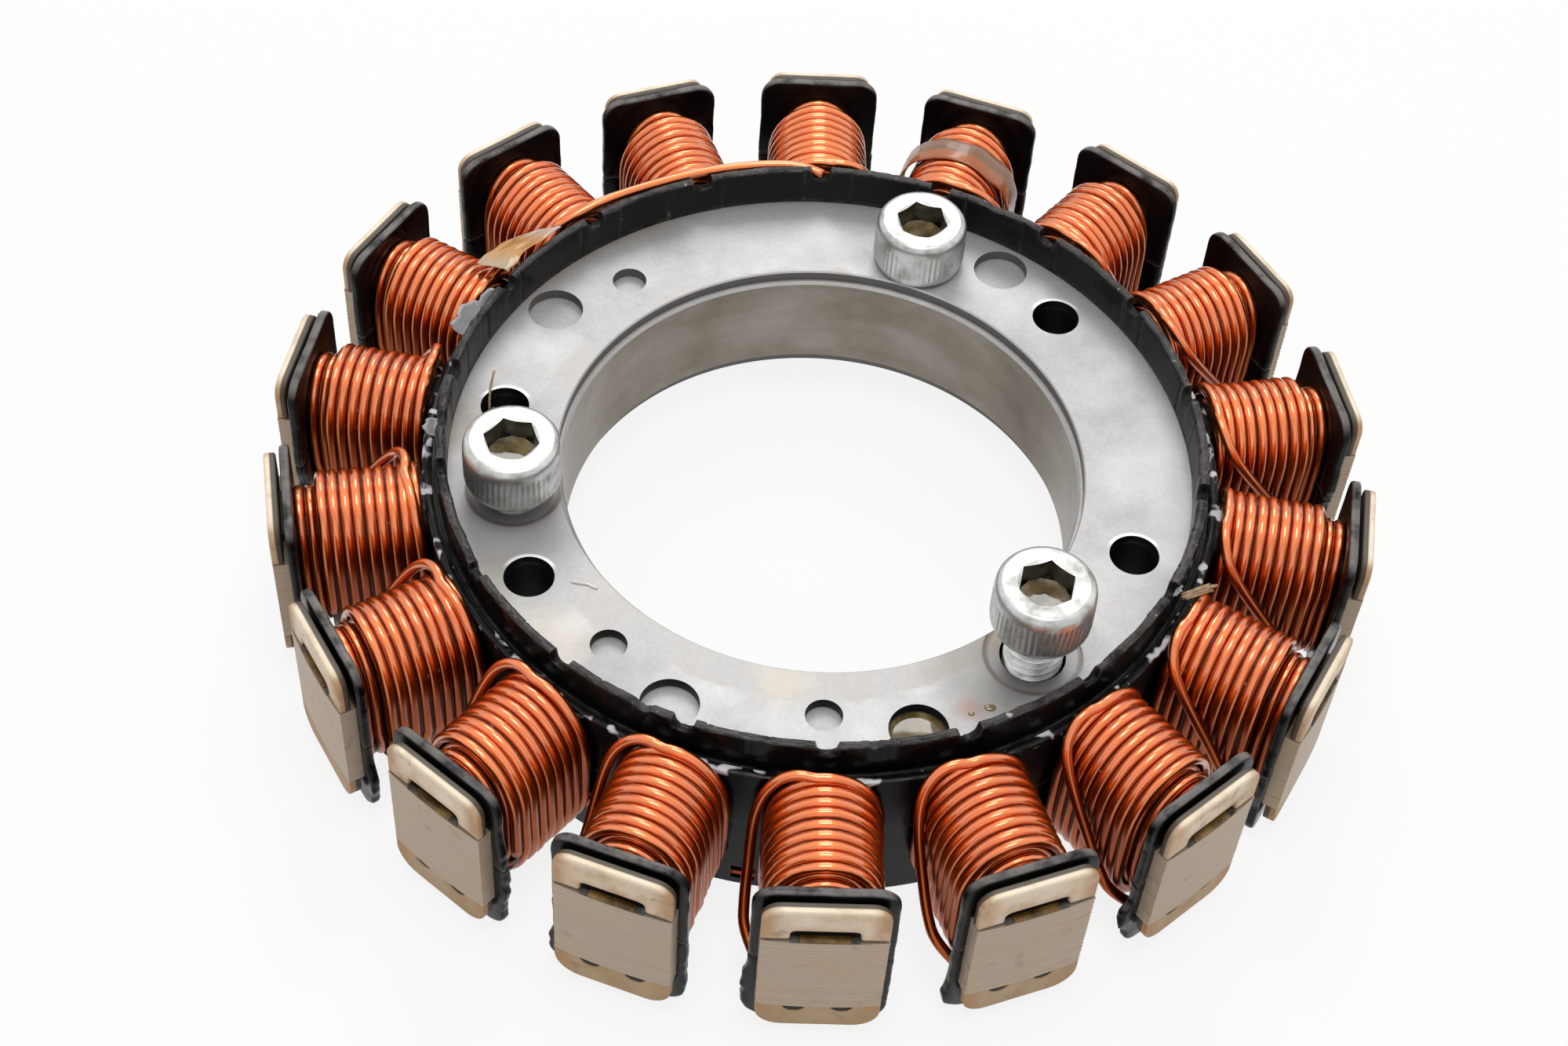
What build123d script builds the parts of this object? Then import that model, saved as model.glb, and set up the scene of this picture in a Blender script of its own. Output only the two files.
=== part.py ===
from build123d import *
import os
from math import cos, radians, sin, sqrt

# Wound stator of a small flywheel generator, standing on its lower insulator.
# The origin is on the bore axis at the resting plane, with Z up and pole 1 facing -Y.
# Poles are numbered clockwise as seen from above.

# Sizes of the core, in millimetres
pole_count = 18
outer_radius = 57.0
bore_radius = 26.85
ring_width = 13.35
stack_height = 11.5
tooth_width = 5.6
shoe_width = 11.8
shoe_depth = 1.9

# Sizes of the end plates and their bent tabs
plate_thickness = 1.2
plate_bore_step = 0.4
upper_tab_rise = 3.6
lower_tab_drop = 2.6
tab_corner_radius = 1.8
lower_tab_corner_radius = 2.4
relief_radius = 0.88
relief_offset = 2.45
relief_rise = 0.4

# Holes: a place is its offset outward from the bore, and its angle from pole 1,
# counterclockwise as seen from above
screw_circle_offset = 5.15
screw_angles = (160.0, -80.0, 40.0)
screw_hole_clearance = 0.3
seat_mark_clearance = 0.1
seat_mark_depth = 0.1
plain_circle_offset = 6.9
plain_angles = (-100.0, -60.0, 70.0, 130.0)
plain_hole_radius = 2.55
large_recess_circle_offset = 8.25
large_recess_angles = (-125.0, -25.0, 15.0, 145.0)
large_recess_radius = 2.95
small_recess_circle_offset = 5.75
small_recess_angles = (-140.0, -40.0, 0.0)
small_recess_radius = 1.85

# Sizes of the moulded insulator
hub_wall = 1.0
rim_wall = 1.05
rim_height = 4.75
rim_base = 0.3
lip_height = 1.0
lip_width = 1.0
groove_width = 0.55
notch_width = 1.9
notch_depth = 1.35
liner_wall = 0.8
liner_crown = 1.0
liner_corner_radius = 2.8
cheek_thickness = 1.0
cheek_border = 0.85
cheek_rise = 4.1
cheek_corner_radius = 2.0

# Sizes of the winding
wire_diameter = 1.12
turn_pitch = 1.17
bare_stretch = 2.0
winding_build = 2.2
winding_shoulder = 6.0
ridge_bevel = 0.33
lead_turn_rise = 0.6
winding_clearance = 0.1
strand_offset = 0.35
strand_low_rise = 0.4
strand_high_drop = 2.0

# Sizes of the wires round the rim
phase_wire_diameter = 1.1
phase_wire_gap = 0.1
phase_count = 3
jumper_start = -139.0
jumper_end = -177.0
jumper_drop = 0.6

# Sizes of the tape band and the insulation scrap
tape_pole = 11
tape_shift = -0.6
tape_width = 3.7
tape_thickness = 0.25
tape_side_slack = 1.2
tape_top_slack = 0.3
scrap_start = -122.0
scrap_end = -136.0
scrap_thickness = 0.3
scrap_width = 2.4

# Sizes of the socket screws (M6), and how far each head stands off the plate
screw_radius = 3.0
screw_length = 16.0
head_radius = 5.0
head_height = 6.0
head_edge = 0.5
socket_across_flats = 5.0
socket_depth = 3.0
tip_bevel = 0.6
screw_lifts = (0.0, 1.8, 5.3)

# Heights and radii that follow from the sizes above
pole_step = 360.0 / pole_count
phase_pole_step = pole_step * phase_count
phase_span = 360.0 - phase_pole_step
phase_pitch = phase_wire_diameter + phase_wire_gap
foot_height = rim_base + phase_count * phase_pitch + phase_wire_gap
lower_plate_bottom = foot_height
stack_bottom = lower_plate_bottom + plate_thickness
stack_top = stack_bottom + stack_height
plate_top = stack_top + plate_thickness
middle = (lower_plate_bottom + plate_top) / 2
rim_top = plate_top + rim_height
yoke_radius = bore_radius + ring_width
hub_radius = yoke_radius + hub_wall
rim_outer_radius = hub_radius - lip_width - groove_width
rim_inner_radius = rim_outer_radius - rim_wall
screw_circle_radius = bore_radius + screw_circle_offset
plain_circle_radius = bore_radius + plain_circle_offset
large_recess_circle_radius = bore_radius + large_recess_circle_offset
small_recess_circle_radius = bore_radius + small_recess_circle_offset
screw_hole_radius = screw_radius + screw_hole_clearance
seat_mark_radius = head_radius - seat_mark_clearance
shoe_back = outer_radius - shoe_depth
cheek_inner = shoe_back - cheek_thickness
cheek_top = plate_top + cheek_rise
cheek_width = shoe_width + 2 * cheek_border
liner_half_width = tooth_width / 2 + liner_wall
liner_top = plate_top + liner_crown
winding_half_width = liner_half_width + winding_build
winding_top = liner_top + winding_build
winding_start = hub_radius + winding_clearance
winding_end = cheek_inner - winding_clearance
outer_turns = int((winding_end - winding_start - bare_stretch) / turn_pitch)
plate_bore_radius = bore_radius + plate_bore_step
tab_face_radius = sqrt(outer_radius**2 - (shoe_width / 2) ** 2)


def mirror_height(z):
    """Height of the same feature on the other side of the middle plane."""
    return 2 * middle - z


def at_angle(angle, radius, z=0.0):
    """Place at an angle from pole 1, counterclockwise from above."""
    turn = radians(angle - 90)
    return Location((radius * cos(turn), radius * sin(turn), z))


def ring(inner, outer, low, high):
    """Plain ring between two heights."""
    body = Cylinder(outer, high - low, align=(Align.CENTER, Align.CENTER, Align.MIN))
    hole = Cylinder(inner, high - low, align=(Align.CENTER, Align.CENTER, Align.MIN))
    return Pos(0, 0, low) * (body - hole)


def block(x_half, y_near, y_far, low, high):
    """Box on pole 1: its width is centred, and y runs outward from the bore axis."""
    corner = Box(2 * x_half, y_far - y_near, high - low, align=(Align.CENTER, Align.MAX, Align.MIN))
    return Pos(0, -y_near, low) * corner


def around(piece):
    """One copy of a pole feature for each pole."""
    return [Rot(0, 0, -pole_step * index) * piece for index in range(pole_count)]


def drill(radius, circle_radius, angles, low, high):
    """Straight cutters standing at the given angles."""
    cutter = Cylinder(radius, high - low, align=(Align.CENTER, Align.CENTER, Align.MIN))
    return [at_angle(angle, circle_radius, low) * cutter for angle in angles]


def outward(profile, y_near, y_far):
    """Extrude a sketch in X and Z along pole 1, from one radius to another."""
    flat = Plane(origin=(0, -y_near, 0), x_dir=(1, 0, 0), z_dir=(0, -1, 0))
    return extrude(flat * profile, amount=y_far - y_near)


def core():
    """Laminated core: yoke, teeth and pole shoes, turned in the bore."""
    yoke = ring(bore_radius, yoke_radius, stack_bottom, stack_top)
    root = yoke_radius - hub_wall
    tooth = block(tooth_width / 2, root, shoe_back + shoe_depth / 2, stack_bottom, stack_top)
    shoe = block(shoe_width / 2, shoe_back, outer_radius + shoe_depth, stack_bottom, stack_top)
    rim_cut = Cylinder(outer_radius, stack_top, align=(Align.CENTER, Align.CENTER, Align.MIN))
    pole = tooth + (shoe & rim_cut)
    holes = drill(screw_hole_radius, screw_circle_radius, screw_angles, 0, plate_top)
    holes += drill(plain_hole_radius, plain_circle_radius, plain_angles, 0, plate_top)
    return yoke + around(pole) - holes


def tab_face(top, bottom, top_radius, bottom_radius):
    """Front view of a bent tab, with its free corners rounded."""
    half = shoe_width / 2
    outline = Pos(0, (top + bottom) / 2) * Rectangle(2 * half, top - bottom)
    high = [corner for corner in outline.vertices() if corner.Y > (top + bottom) / 2]
    low = [corner for corner in outline.vertices() if corner.Y < (top + bottom) / 2]
    if top_radius:
        outline = fillet(high, top_radius)
    if bottom_radius:
        outline = fillet(low, bottom_radius)
    return outline


def relief_pair(height):
    """Two round relief notches beside the bend of a tab."""
    notch = Circle(relief_radius)
    return Pos(-relief_offset, height) * notch + Pos(relief_offset, height) * notch


def end_plate(low, high, tab_low, tab_high, bend_height, relief_height):
    """Ring, narrow teeth and bent tabs of one end plate."""
    plate = ring(plate_bore_radius, yoke_radius, low, high)
    tab_back = tab_face_radius - plate_thickness
    tooth = block(tooth_width / 2, yoke_radius - hub_wall, tab_back + plate_thickness / 2, low, high)
    rounded = tab_high > high
    top_radius = tab_corner_radius if rounded else 0
    bottom_radius = 0 if rounded else lower_tab_corner_radius
    face = tab_face(tab_high, tab_low, top_radius, bottom_radius) - relief_pair(relief_height)
    tab = outward(face, tab_back, tab_face_radius)
    # The sheet turns a round corner where it bends between the two notches
    bend_half = relief_offset - relief_radius
    bend_cut = block(bend_half, tab_back, tab_face_radius, low, high)
    bend_middle = tab_face_radius - plate_thickness
    bend_round = Pos(0, -bend_middle, bend_height) * Rot(0, 90, 0) * Cylinder(plate_thickness, 2 * bend_half)
    tab = tab - (bend_cut - bend_round)
    return plate + around(tooth + tab)


def upper_end_plate():
    """Upper plate: it also has the recesses that show the core through them."""
    tab_top = plate_top + upper_tab_rise
    plate = end_plate(stack_top, plate_top, stack_top, tab_top, plate_top, stack_top + relief_rise)
    holes = drill(screw_hole_radius, screw_circle_radius, screw_angles, stack_top, plate_top)
    holes += drill(plain_hole_radius, plain_circle_radius, plain_angles, stack_top, plate_top)
    holes += drill(large_recess_radius, large_recess_circle_radius, large_recess_angles, stack_top, plate_top)
    holes += drill(small_recess_radius, small_recess_circle_radius, small_recess_angles, stack_top, plate_top)
    mark_bottom = plate_top - seat_mark_depth
    holes += drill(seat_mark_radius, screw_circle_radius, screw_angles[1:], mark_bottom, plate_top)
    return plate - holes


def lower_end_plate():
    """Lower plate: the same sheet with its tabs bent down."""
    low = lower_plate_bottom
    plate = end_plate(low, stack_bottom, low - lower_tab_drop, stack_bottom, low, stack_bottom - relief_rise)
    holes = drill(screw_hole_radius, screw_circle_radius, screw_angles, low, stack_bottom)
    holes += drill(plain_hole_radius, plain_circle_radius, plain_angles, low, stack_bottom)
    return plate - holes


def liner_section():
    """Outer shape of the moulding round a tooth, in X and Z."""
    height = liner_top - mirror_height(liner_top)
    return Pos(0, middle) * RectangleRounded(2 * liner_half_width, height, liner_corner_radius)


def cheek():
    """Winding cheek behind one pole shoe, over the full height."""
    high = cheek_top
    low = 0.0
    panel = Pos(0, (high + low) / 2) * RectangleRounded(cheek_width, high - low, cheek_corner_radius)
    return outward(panel, cheek_inner, shoe_back)


def tooth_moulding():
    """Liner and cheek of one pole, hollow for the tooth and both plates."""
    channel = ring(rim_inner_radius, hub_radius, 0, lower_plate_bottom - rim_base)
    body = outward(liner_section(), yoke_radius, shoe_back) - channel + cheek()
    tooth = block(tooth_width / 2, yoke_radius - hub_wall, outer_radius, lower_plate_bottom, plate_top)
    return body - tooth


def half_moulding(keep_upper):
    """Tooth mouldings and hub skirt on one side of the middle plane."""
    low = middle if keep_upper else 0.0
    high = cheek_top if keep_upper else middle
    slab = block(outer_radius, yoke_radius - hub_wall, outer_radius, low, high)
    pole = tooth_moulding() & slab
    skirt_low = middle if keep_upper else lower_plate_bottom
    skirt_high = plate_top if keep_upper else middle
    skirt = ring(yoke_radius, hub_radius, skirt_low, skirt_high)
    window = block(tooth_width / 2, rim_inner_radius, outer_radius, lower_plate_bottom, plate_top)
    return skirt - around(window) + around(pole)


def upper_insulator():
    """Upper half: the notched rim wall and the lip outside it."""
    base = ring(rim_inner_radius, hub_radius, plate_top, plate_top + rim_base)
    rim = ring(rim_inner_radius, rim_outer_radius, plate_top, rim_top)
    lip = ring(hub_radius - lip_width, hub_radius, plate_top, plate_top + lip_height)
    notch_round = notch_width / 2
    notch = Pos(0, rim_top - notch_depth + notch_round) * Circle(notch_round)
    notch += Pos(0, rim_top) * Rectangle(notch_width, 2 * (notch_depth - notch_round))
    notch_cut = outward(notch, rim_inner_radius - rim_wall, rim_outer_radius + rim_wall / 4)
    return half_moulding(True) + base + (rim - around(notch_cut)) + lip


def lower_insulator():
    """Lower half: the rim wall that the phase wires run round."""
    low = lower_plate_bottom
    base = ring(rim_inner_radius, hub_radius, low - rim_base, low)
    rim = ring(rim_inner_radius, rim_outer_radius, 0, low)
    return half_moulding(False) + base + rim


def winding_oval(rise=0.0, side=0.0, crown=0.0):
    """Cross-section of the winding, grown at its sides and crowns: flanks under half-ellipses."""
    half = winding_half_width + side
    arch = winding_shoulder + crown
    high = winding_top - winding_shoulder + rise
    low = mirror_height(winding_top - winding_shoulder)
    flank = Pos(0, (high + low) / 2) * Rectangle(2 * half, high - low)
    return flank + Pos(0, high) * Ellipse(half, arch) + Pos(0, low) * Ellipse(half, arch)


def turn(profile, y_near, y_far):
    """One turn of wire as a ridge with both edges bevelled."""
    body = outward(profile, y_near, y_far)
    ends = body.faces().filter_by(Axis.Y)
    rims = [edge for face in ends for edge in face.edges()]
    return chamfer(rims, ridge_bevel)


def strand():
    """Loose strand that runs down one flank, out toward the cheek."""
    reach = winding_half_width + strand_offset
    start = Vector(-reach, -(winding_start + turn_pitch), plate_top - strand_high_drop)
    low_end = lower_plate_bottom + strand_low_rise
    end = Vector(-reach, -(winding_end - turn_pitch), low_end)
    path = Plane(origin=start, z_dir=end - start)
    length = (end - start).length
    wire = Cylinder(wire_diameter / 2, length, align=(Align.CENTER, Align.CENTER, Align.MIN))
    ball = Sphere(wire_diameter / 2)
    return path.location * wire + Pos(*start) * ball + Pos(*end) * ball


def coil():
    """Winding of pole 1: outer turns, the raised lead turn and the inner turns that show."""
    body = []
    for index in range(outer_turns):
        near = winding_start + turn_pitch * index
        rise = lead_turn_rise if index == 0 else 0.0
        body.append(turn(winding_oval(rise=rise), near, near + turn_pitch))
    near = winding_start + turn_pitch * outer_turns
    while near < winding_end - turn_pitch / 2:
        far = min(near + turn_pitch, winding_end)
        body.append(turn(winding_oval(side=-wire_diameter, crown=-wire_diameter), near, far))
        near = far
    wound = body[0] + body[1:] + strand()
    return wound - outward(liner_section(), winding_start - turn_pitch, cheek_inner)


def arc_wire(circle_radius, height, start, end, diameter):
    """Round wire along an arc about the bore axis, with rounded ends."""
    first = at_angle(start, circle_radius, height).position
    last = at_angle(end, circle_radius, height).position
    route = CenterArc((0, 0, height), circle_radius, start - 90, end - start)
    section = Plane(origin=first, z_dir=route % 0) * Circle(diameter / 2)
    ball = Sphere(diameter / 2)
    return sweep(section, path=route) + Pos(*first) * ball + Pos(*last) * ball


def phase_wire(phase):
    """One phase's run round the lower rim, with a short tail up to each of its coils."""
    reach = rim_outer_radius + phase_wire_gap + phase_wire_diameter / 2
    height = phase_pitch * (phase + 1) - phase_wire_diameter / 2
    start = -pole_step * phase
    wire = arc_wire(reach, height, start, start - phase_span, phase_wire_diameter)
    tail_length = hub_radius - phase_wire_gap - reach
    coils_per_phase = pole_count // phase_count
    for link in range(coils_per_phase):
        angle = start - phase_pole_step * link
        tail = Cylinder(phase_wire_diameter / 2, tail_length, align=(Align.CENTER, Align.CENTER, Align.MIN))
        wire += at_angle(angle, reach, height) * Rot(0, 0, angle - 90) * Rot(0, 90, 0) * tail
    return wire


def upper_jumper():
    """Bare wire along the outside of the rim."""
    reach = rim_outer_radius + phase_wire_gap + wire_diameter / 2
    return arc_wire(reach, rim_top - jumper_drop, jumper_start, jumper_end, wire_diameter)


def tape_band():
    """Loose band of tape round one coil."""
    inner = winding_oval(side=tape_side_slack, crown=tape_top_slack)
    outer = winding_oval(side=tape_side_slack + tape_thickness, crown=tape_top_slack + tape_thickness)
    tape_start = (winding_start + winding_end - tape_width) / 2 + tape_shift
    band = outward(outer - inner, tape_start, tape_start + tape_width)
    return Rot(0, 0, -pole_step * (tape_pole - 1)) * band


def insulation_scrap():
    """Torn scrap lying on top of the rim wall."""
    low = rim_top
    reach = rim_outer_radius + scrap_width - rim_wall
    sheet = ring(rim_outer_radius - rim_wall / 2, reach, low, low + scrap_thickness)
    wedge_start = at_angle(scrap_start, 2 * outer_radius).position
    wedge_end = at_angle(scrap_end, 2 * outer_radius).position
    wedge = make_face(Polyline((0, 0, 0), wedge_start, wedge_end, close=True))
    return sheet & extrude(wedge, amount=2 * low, dir=(0, 0, 1))


def socket_screw(index):
    """Socket screw standing in its hole, its head lifted by its own amount."""
    seat = plate_top + screw_lifts[index]
    head = Cylinder(head_radius, head_height, align=(Align.CENTER, Align.CENTER, Align.MIN))
    head = fillet(head.edges().group_by(Axis.Z)[-1], head_edge)
    socket_radius = socket_across_flats / sqrt(3)
    hexagon = Pos(0, 0, head_height - socket_depth) * RegularPolygon(socket_radius, 6)
    head = head - extrude(hexagon, amount=socket_depth)
    shank = Cylinder(screw_radius, screw_length, align=(Align.CENTER, Align.CENTER, Align.MAX))
    shank = chamfer(shank.edges().group_by(Axis.Z)[0], tip_bevel)
    return at_angle(screw_angles[index], screw_circle_radius, seat) * (head + shank)


def write(piece, node):
    """Write one piece as its own file."""
    piece.label = node
    export_step(piece, f"parts/{node}.step")


os.makedirs("parts", exist_ok=True)
write(core(), "lamination_stack")
write(upper_end_plate(), "upper_end_plate")
write(lower_end_plate(), "lower_end_plate")
write(upper_insulator(), "upper_insulator")
write(lower_insulator(), "lower_insulator")
first_coil = coil()
for pole in range(pole_count):
    write(Rot(0, 0, -pole_step * pole) * first_coil, f"coil_{pole + 1:02d}")
for phase, letter in enumerate("abc"):
    write(phase_wire(phase), f"phase_wire_{letter}")
write(upper_jumper(), "upper_jumper")
write(tape_band(), "tape_band")
write(insulation_scrap(), "insulation_scrap")
for index in range(len(screw_angles)):
    write(socket_screw(index), f"socket_screw_{index + 1}")
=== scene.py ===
# %% [markdown]
# A wound stator from a small engine's generator, dressed for its portrait.
# The solid model comes in first as a fixed frame, so every size and place below is the same as there.
# Each cell makes one kind of piece, from the core outward, and says what it made. Blender works in
# metres, so MM is a millimetre there, and places closer than HAIR, in millimetres, count as the same.

# %% Load the frame and keep its box
import bpy
import random
from math import atan2, cos, degrees, hypot, pi, radians, sin, sqrt
from mathutils import Matrix, Quaternion, Vector, noise


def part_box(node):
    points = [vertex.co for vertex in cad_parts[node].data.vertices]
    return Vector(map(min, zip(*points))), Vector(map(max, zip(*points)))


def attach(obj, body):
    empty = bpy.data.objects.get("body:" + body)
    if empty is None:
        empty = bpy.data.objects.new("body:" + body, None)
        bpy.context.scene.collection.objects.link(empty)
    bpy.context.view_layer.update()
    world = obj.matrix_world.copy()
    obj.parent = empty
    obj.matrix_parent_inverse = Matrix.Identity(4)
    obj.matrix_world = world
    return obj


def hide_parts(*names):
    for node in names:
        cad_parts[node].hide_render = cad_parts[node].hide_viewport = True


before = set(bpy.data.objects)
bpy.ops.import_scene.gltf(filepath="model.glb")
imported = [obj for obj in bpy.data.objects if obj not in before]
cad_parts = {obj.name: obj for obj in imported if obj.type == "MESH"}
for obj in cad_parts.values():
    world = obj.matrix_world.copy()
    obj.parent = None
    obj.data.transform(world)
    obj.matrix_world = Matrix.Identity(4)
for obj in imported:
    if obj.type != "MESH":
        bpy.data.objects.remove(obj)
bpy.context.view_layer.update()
MM = 0.001
HAIR = 0.01

# %% [markdown]
# The driving sizes are those of the solid model, in millimetres. What the frame can tell is
# read from it, and the rest follows from a few plain numbers. A hole is an angle from pole 1,
# counterclockwise as seen from above, with the radius of its circle and its own radius.

# %% Sizes of the stator
pole_count = 18
pole_step = 360 / pole_count
core_low, core_high = [corner.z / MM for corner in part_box("lamination_stack")]
outer_radius = 57.0
bore_radius = 26.85
yoke_radius = 40.2
tooth_half = 2.8
shoe_half = 5.9
shoe_depth = 1.9
plate_thickness = 1.2
plate_top = core_high + plate_thickness
plate_low = core_low - plate_thickness
middle = (plate_low + plate_top) / 2
hub_wall = 1.0
hub_radius = yoke_radius + hub_wall
rim_inner = 38.6
rim_outer = 39.65
rim_height = 4.75
rim_top = plate_top + rim_height
lip_top = plate_top + 1.0
shoe_back = outer_radius - shoe_depth
cheek_thickness = 1.0
cheek_inner = shoe_back - cheek_thickness
cheek_top = plate_top + 4.1
cheek_half = 6.75
tab_face = sqrt(outer_radius**2 - shoe_half**2)
tab_back = tab_face - plate_thickness
sheet_pitch = (core_high - core_low) / round((core_high - core_low) / 0.6)
screw_angles = (160, -80, 40)
screw_circle = 32.0
large_circle = 35.1
screw_holes = [(angle, screw_circle, 3.3) for angle in screw_angles]
plain_holes = [(angle, 33.75, 2.55) for angle in (-100, -60, 70, 130)]
large_recesses = [(angle, large_circle, 2.95) for angle in (-125, -25, 15, 145)]
small_recesses = [(angle, 32.6, 1.85) for angle in (-140, -40, 0)]
print("core from", round(core_low, 2), "to", round(core_high, 2), "mm, plate top at", round(plate_top, 2))


# %% [markdown]
# The operators of Blender work on what is selected, so these helpers put one piece in hand,
# pick its faces or edges by their place, and apply what a modifier made of it.

# %% Helpers that work on the piece in hand
def take(piece):
    """Select one piece alone and make it active."""
    bpy.ops.object.select_all(action="DESELECT")
    piece.select_set(True)
    bpy.context.view_layer.objects.active = piece


def made(name):
    """Name the piece that an operator has just added, and move its place into its mesh."""
    piece = bpy.context.active_object
    piece.name = name
    piece.data.name = name
    take(piece)
    bpy.ops.object.transform_apply(location=True, rotation=True, scale=True)
    return piece


def add(name, data):
    """Put new data into the scene as an object."""
    piece = bpy.data.objects.new(name, data)
    bpy.context.scene.collection.objects.link(piece)
    return piece


def pick(piece, kind, test):
    """Enter edit mode with only the vertices, edges or faces whose centre passes a test."""
    take(piece)
    bpy.ops.object.mode_set(mode="EDIT")
    bpy.ops.mesh.select_mode(type=kind)
    bpy.ops.mesh.select_all(action="DESELECT")
    bpy.ops.object.mode_set(mode="OBJECT")
    mesh = piece.data
    for part in mesh.edges if kind == "EDGE" else mesh.polygons:
        places = [mesh.vertices[index].co for index in part.vertices]
        part.select = test(sum(places, Vector()) / len(places) / MM, part)
    bpy.ops.object.mode_set(mode="EDIT")


def leave():
    """Go back to object mode."""
    bpy.ops.object.mode_set(mode="OBJECT")


def whole(piece):
    """Enter edit mode with all of a piece selected."""
    take(piece)
    bpy.ops.object.mode_set(mode="EDIT")
    bpy.ops.mesh.select_all(action="SELECT")


def face_out(piece, merge=False, fill=False):
    """Merge doubled corners or fill open ends where asked, and turn every face outward."""
    whole(piece)
    if merge:
        bpy.ops.mesh.remove_doubles(threshold=MM / 1000)
    if fill:
        bpy.ops.mesh.fill_holes(sides=0)
    bpy.ops.mesh.normals_make_consistent(inside=False)
    leave()


def apply(piece, kind, **settings):
    """Add one modifier, set it and apply it."""
    take(piece)
    modifier = piece.modifiers.new(kind.lower(), kind)
    for name, value in settings.items():
        setattr(modifier, name, value)
    bpy.ops.object.modifier_apply(modifier=modifier.name)


def join(pieces, name):
    """Join several pieces into one."""
    take(pieces[0])
    for piece in pieces:
        piece.select_set(True)
    if len(pieces) > 1:
        bpy.ops.object.join()
    pieces[0].name = name
    pieces[0].data.name = name
    return pieces[0]


def to_pole(piece, index):
    """Turn a piece made on pole 1 to another pole. Poles run clockwise as seen from above."""
    piece.data.transform(Matrix.Rotation(radians(-pole_step * index), 4, "Z"))
    return piece


def around(piece, name):
    """A pole feature and its copies for every other pole, each with its own mesh, as one piece."""
    copies = [to_pole(add(f"{name}_{index}", piece.data.copy()), index) for index in range(1, pole_count)]
    return join([piece] + copies, name)


def cut(piece, cutters):
    """Cut the joined cutters out of a piece and delete them."""
    cutter = join(cutters, "cutter")
    apply(piece, "BOOLEAN", operation="DIFFERENCE", solver="EXACT", object=cutter)
    bpy.data.objects.remove(cutter)


def bevel(piece, width, segments, angle):
    """Round every edge sharper than an angle."""
    limit = radians(angle)
    apply(piece, "BEVEL", width=width * MM, segments=segments, limit_method="ANGLE", angle_limit=limit)


def shade(piece, angle):
    """Shade a piece smooth, apart from the edges sharper than an angle."""
    take(piece)
    bpy.ops.object.shade_smooth_by_angle(angle=radians(angle))


def smooth_all(piece):
    """Shade every face smooth."""
    for face in piece.data.polygons:
        face.use_smooth = True
    return piece


def spot(angle, radius, height):
    """A place in metres from an angle in degrees from pole 1, a radius and a height."""
    turn = radians(angle - 90)
    return Vector((radius * cos(turn), radius * sin(turn), height)) * MM


def over_plate(route):
    """Points in millimetres from angles, radii and heights above the upper plate."""
    return [spot(angle, radius, plate_top + rise) / MM for angle, radius, rise in route]


def block(name, half, near, far, low, high):
    """A box on pole 1, centred across it."""
    centre = (0, -(near + far) / 2 * MM, (low + high) / 2 * MM)
    size = (2 * half * MM, (far - near) * MM, (high - low) * MM)
    bpy.ops.mesh.primitive_cube_add(size=1, location=centre, scale=size)
    return made(name)


def beside(half, height):
    """A test for the edges at both sides of a box on pole 1, at one height."""
    return lambda centre, edge: abs(abs(centre.x) - half) < HAIR and abs(centre.z - height) < HAIR


def round_corners(piece, half, height, radius, segments):
    """Round the two corners of a box on pole 1 that lie at one height."""
    pick(piece, "EDGE", beside(half, height))
    bpy.ops.mesh.bevel(offset=radius * MM, segments=segments, affect="EDGES")
    leave()


def pegs(holes, low, high, sides=48):
    """A round peg for each hole."""
    pieces = []
    for angle, circle, radius in holes:
        place = spot(angle, circle, (low + high) / 2)
        depth = (high - low) * MM
        bpy.ops.mesh.primitive_cylinder_add(vertices=sides, radius=radius * MM, depth=depth, location=place)
        pieces.append(made("peg"))
    return pieces


def turned(name, section, sides=288, closed=True):
    """Turn a section of (radius, height) points round the bore axis, by extruding a circle."""
    radius, height = section[0]
    bpy.ops.mesh.primitive_circle_add(vertices=sides, radius=radius * MM, location=(0, 0, height * MM))
    piece = made(name)
    whole(piece)
    for next_radius, next_height in section[1:] + (section[:1] if closed else []):
        share = next_radius / radius
        bpy.ops.mesh.extrude_edges_move()
        bpy.ops.transform.resize(value=(share, share, 1))
        bpy.ops.transform.translate(value=(0, 0, (next_height - height) * MM))
        radius, height = next_radius, next_height
    leave()
    face_out(piece, merge=True)
    return piece


def dress(piece, material, slot, *nodes):
    """Give a finished piece its material, its place in the frame and the nodes it stands for."""
    if not piece.data.materials:
        piece.data.materials.append(material)
    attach(piece, "root")
    if nodes:
        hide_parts(*nodes)
    print(piece.name, len(piece.data.polygons), "faces")


# %% [markdown]
# The camera stands where the photographer stood: in front, half way up the sky, with a long
# lens. It is turned a little about its own line of sight, because the photograph is.

# %% Camera
camera_place = Vector((-13.44, -175.27, 218.46)) * MM
camera_aim = Vector((-3.52, -2.30, 10.0)) * MM
camera_roll = 4.44
camera_data = bpy.data.cameras.new("camera")
camera_data.lens = 58.91
camera_data.clip_start = 0.01
camera = add("camera", camera_data)
camera.location = camera_place
level = (camera_aim - camera_place).to_track_quat("-Z", "Y")
camera.rotation_mode = "QUATERNION"
camera.rotation_quaternion = level @ Quaternion((0, 0, 1), radians(camera_roll))
bpy.context.scene.camera = camera
bpy.context.scene.view_settings.view_transform = "Standard"
print("camera at", [round(value / MM, 1) for value in camera_place])


# %% [markdown]
# Every finish is a tree of nodes. These helpers add one node or one short sum each, so that a
# material below reads as a list of what lies over what.

# %% Helpers for node trees
def fill(node, inputs):
    """Set or wire the inputs of a node."""
    for name, value in inputs.items():
        if isinstance(value, bpy.types.NodeSocket):
            node.id_data.links.new(value, node.inputs[name])
        else:
            node.inputs[name].default_value = value


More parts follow.
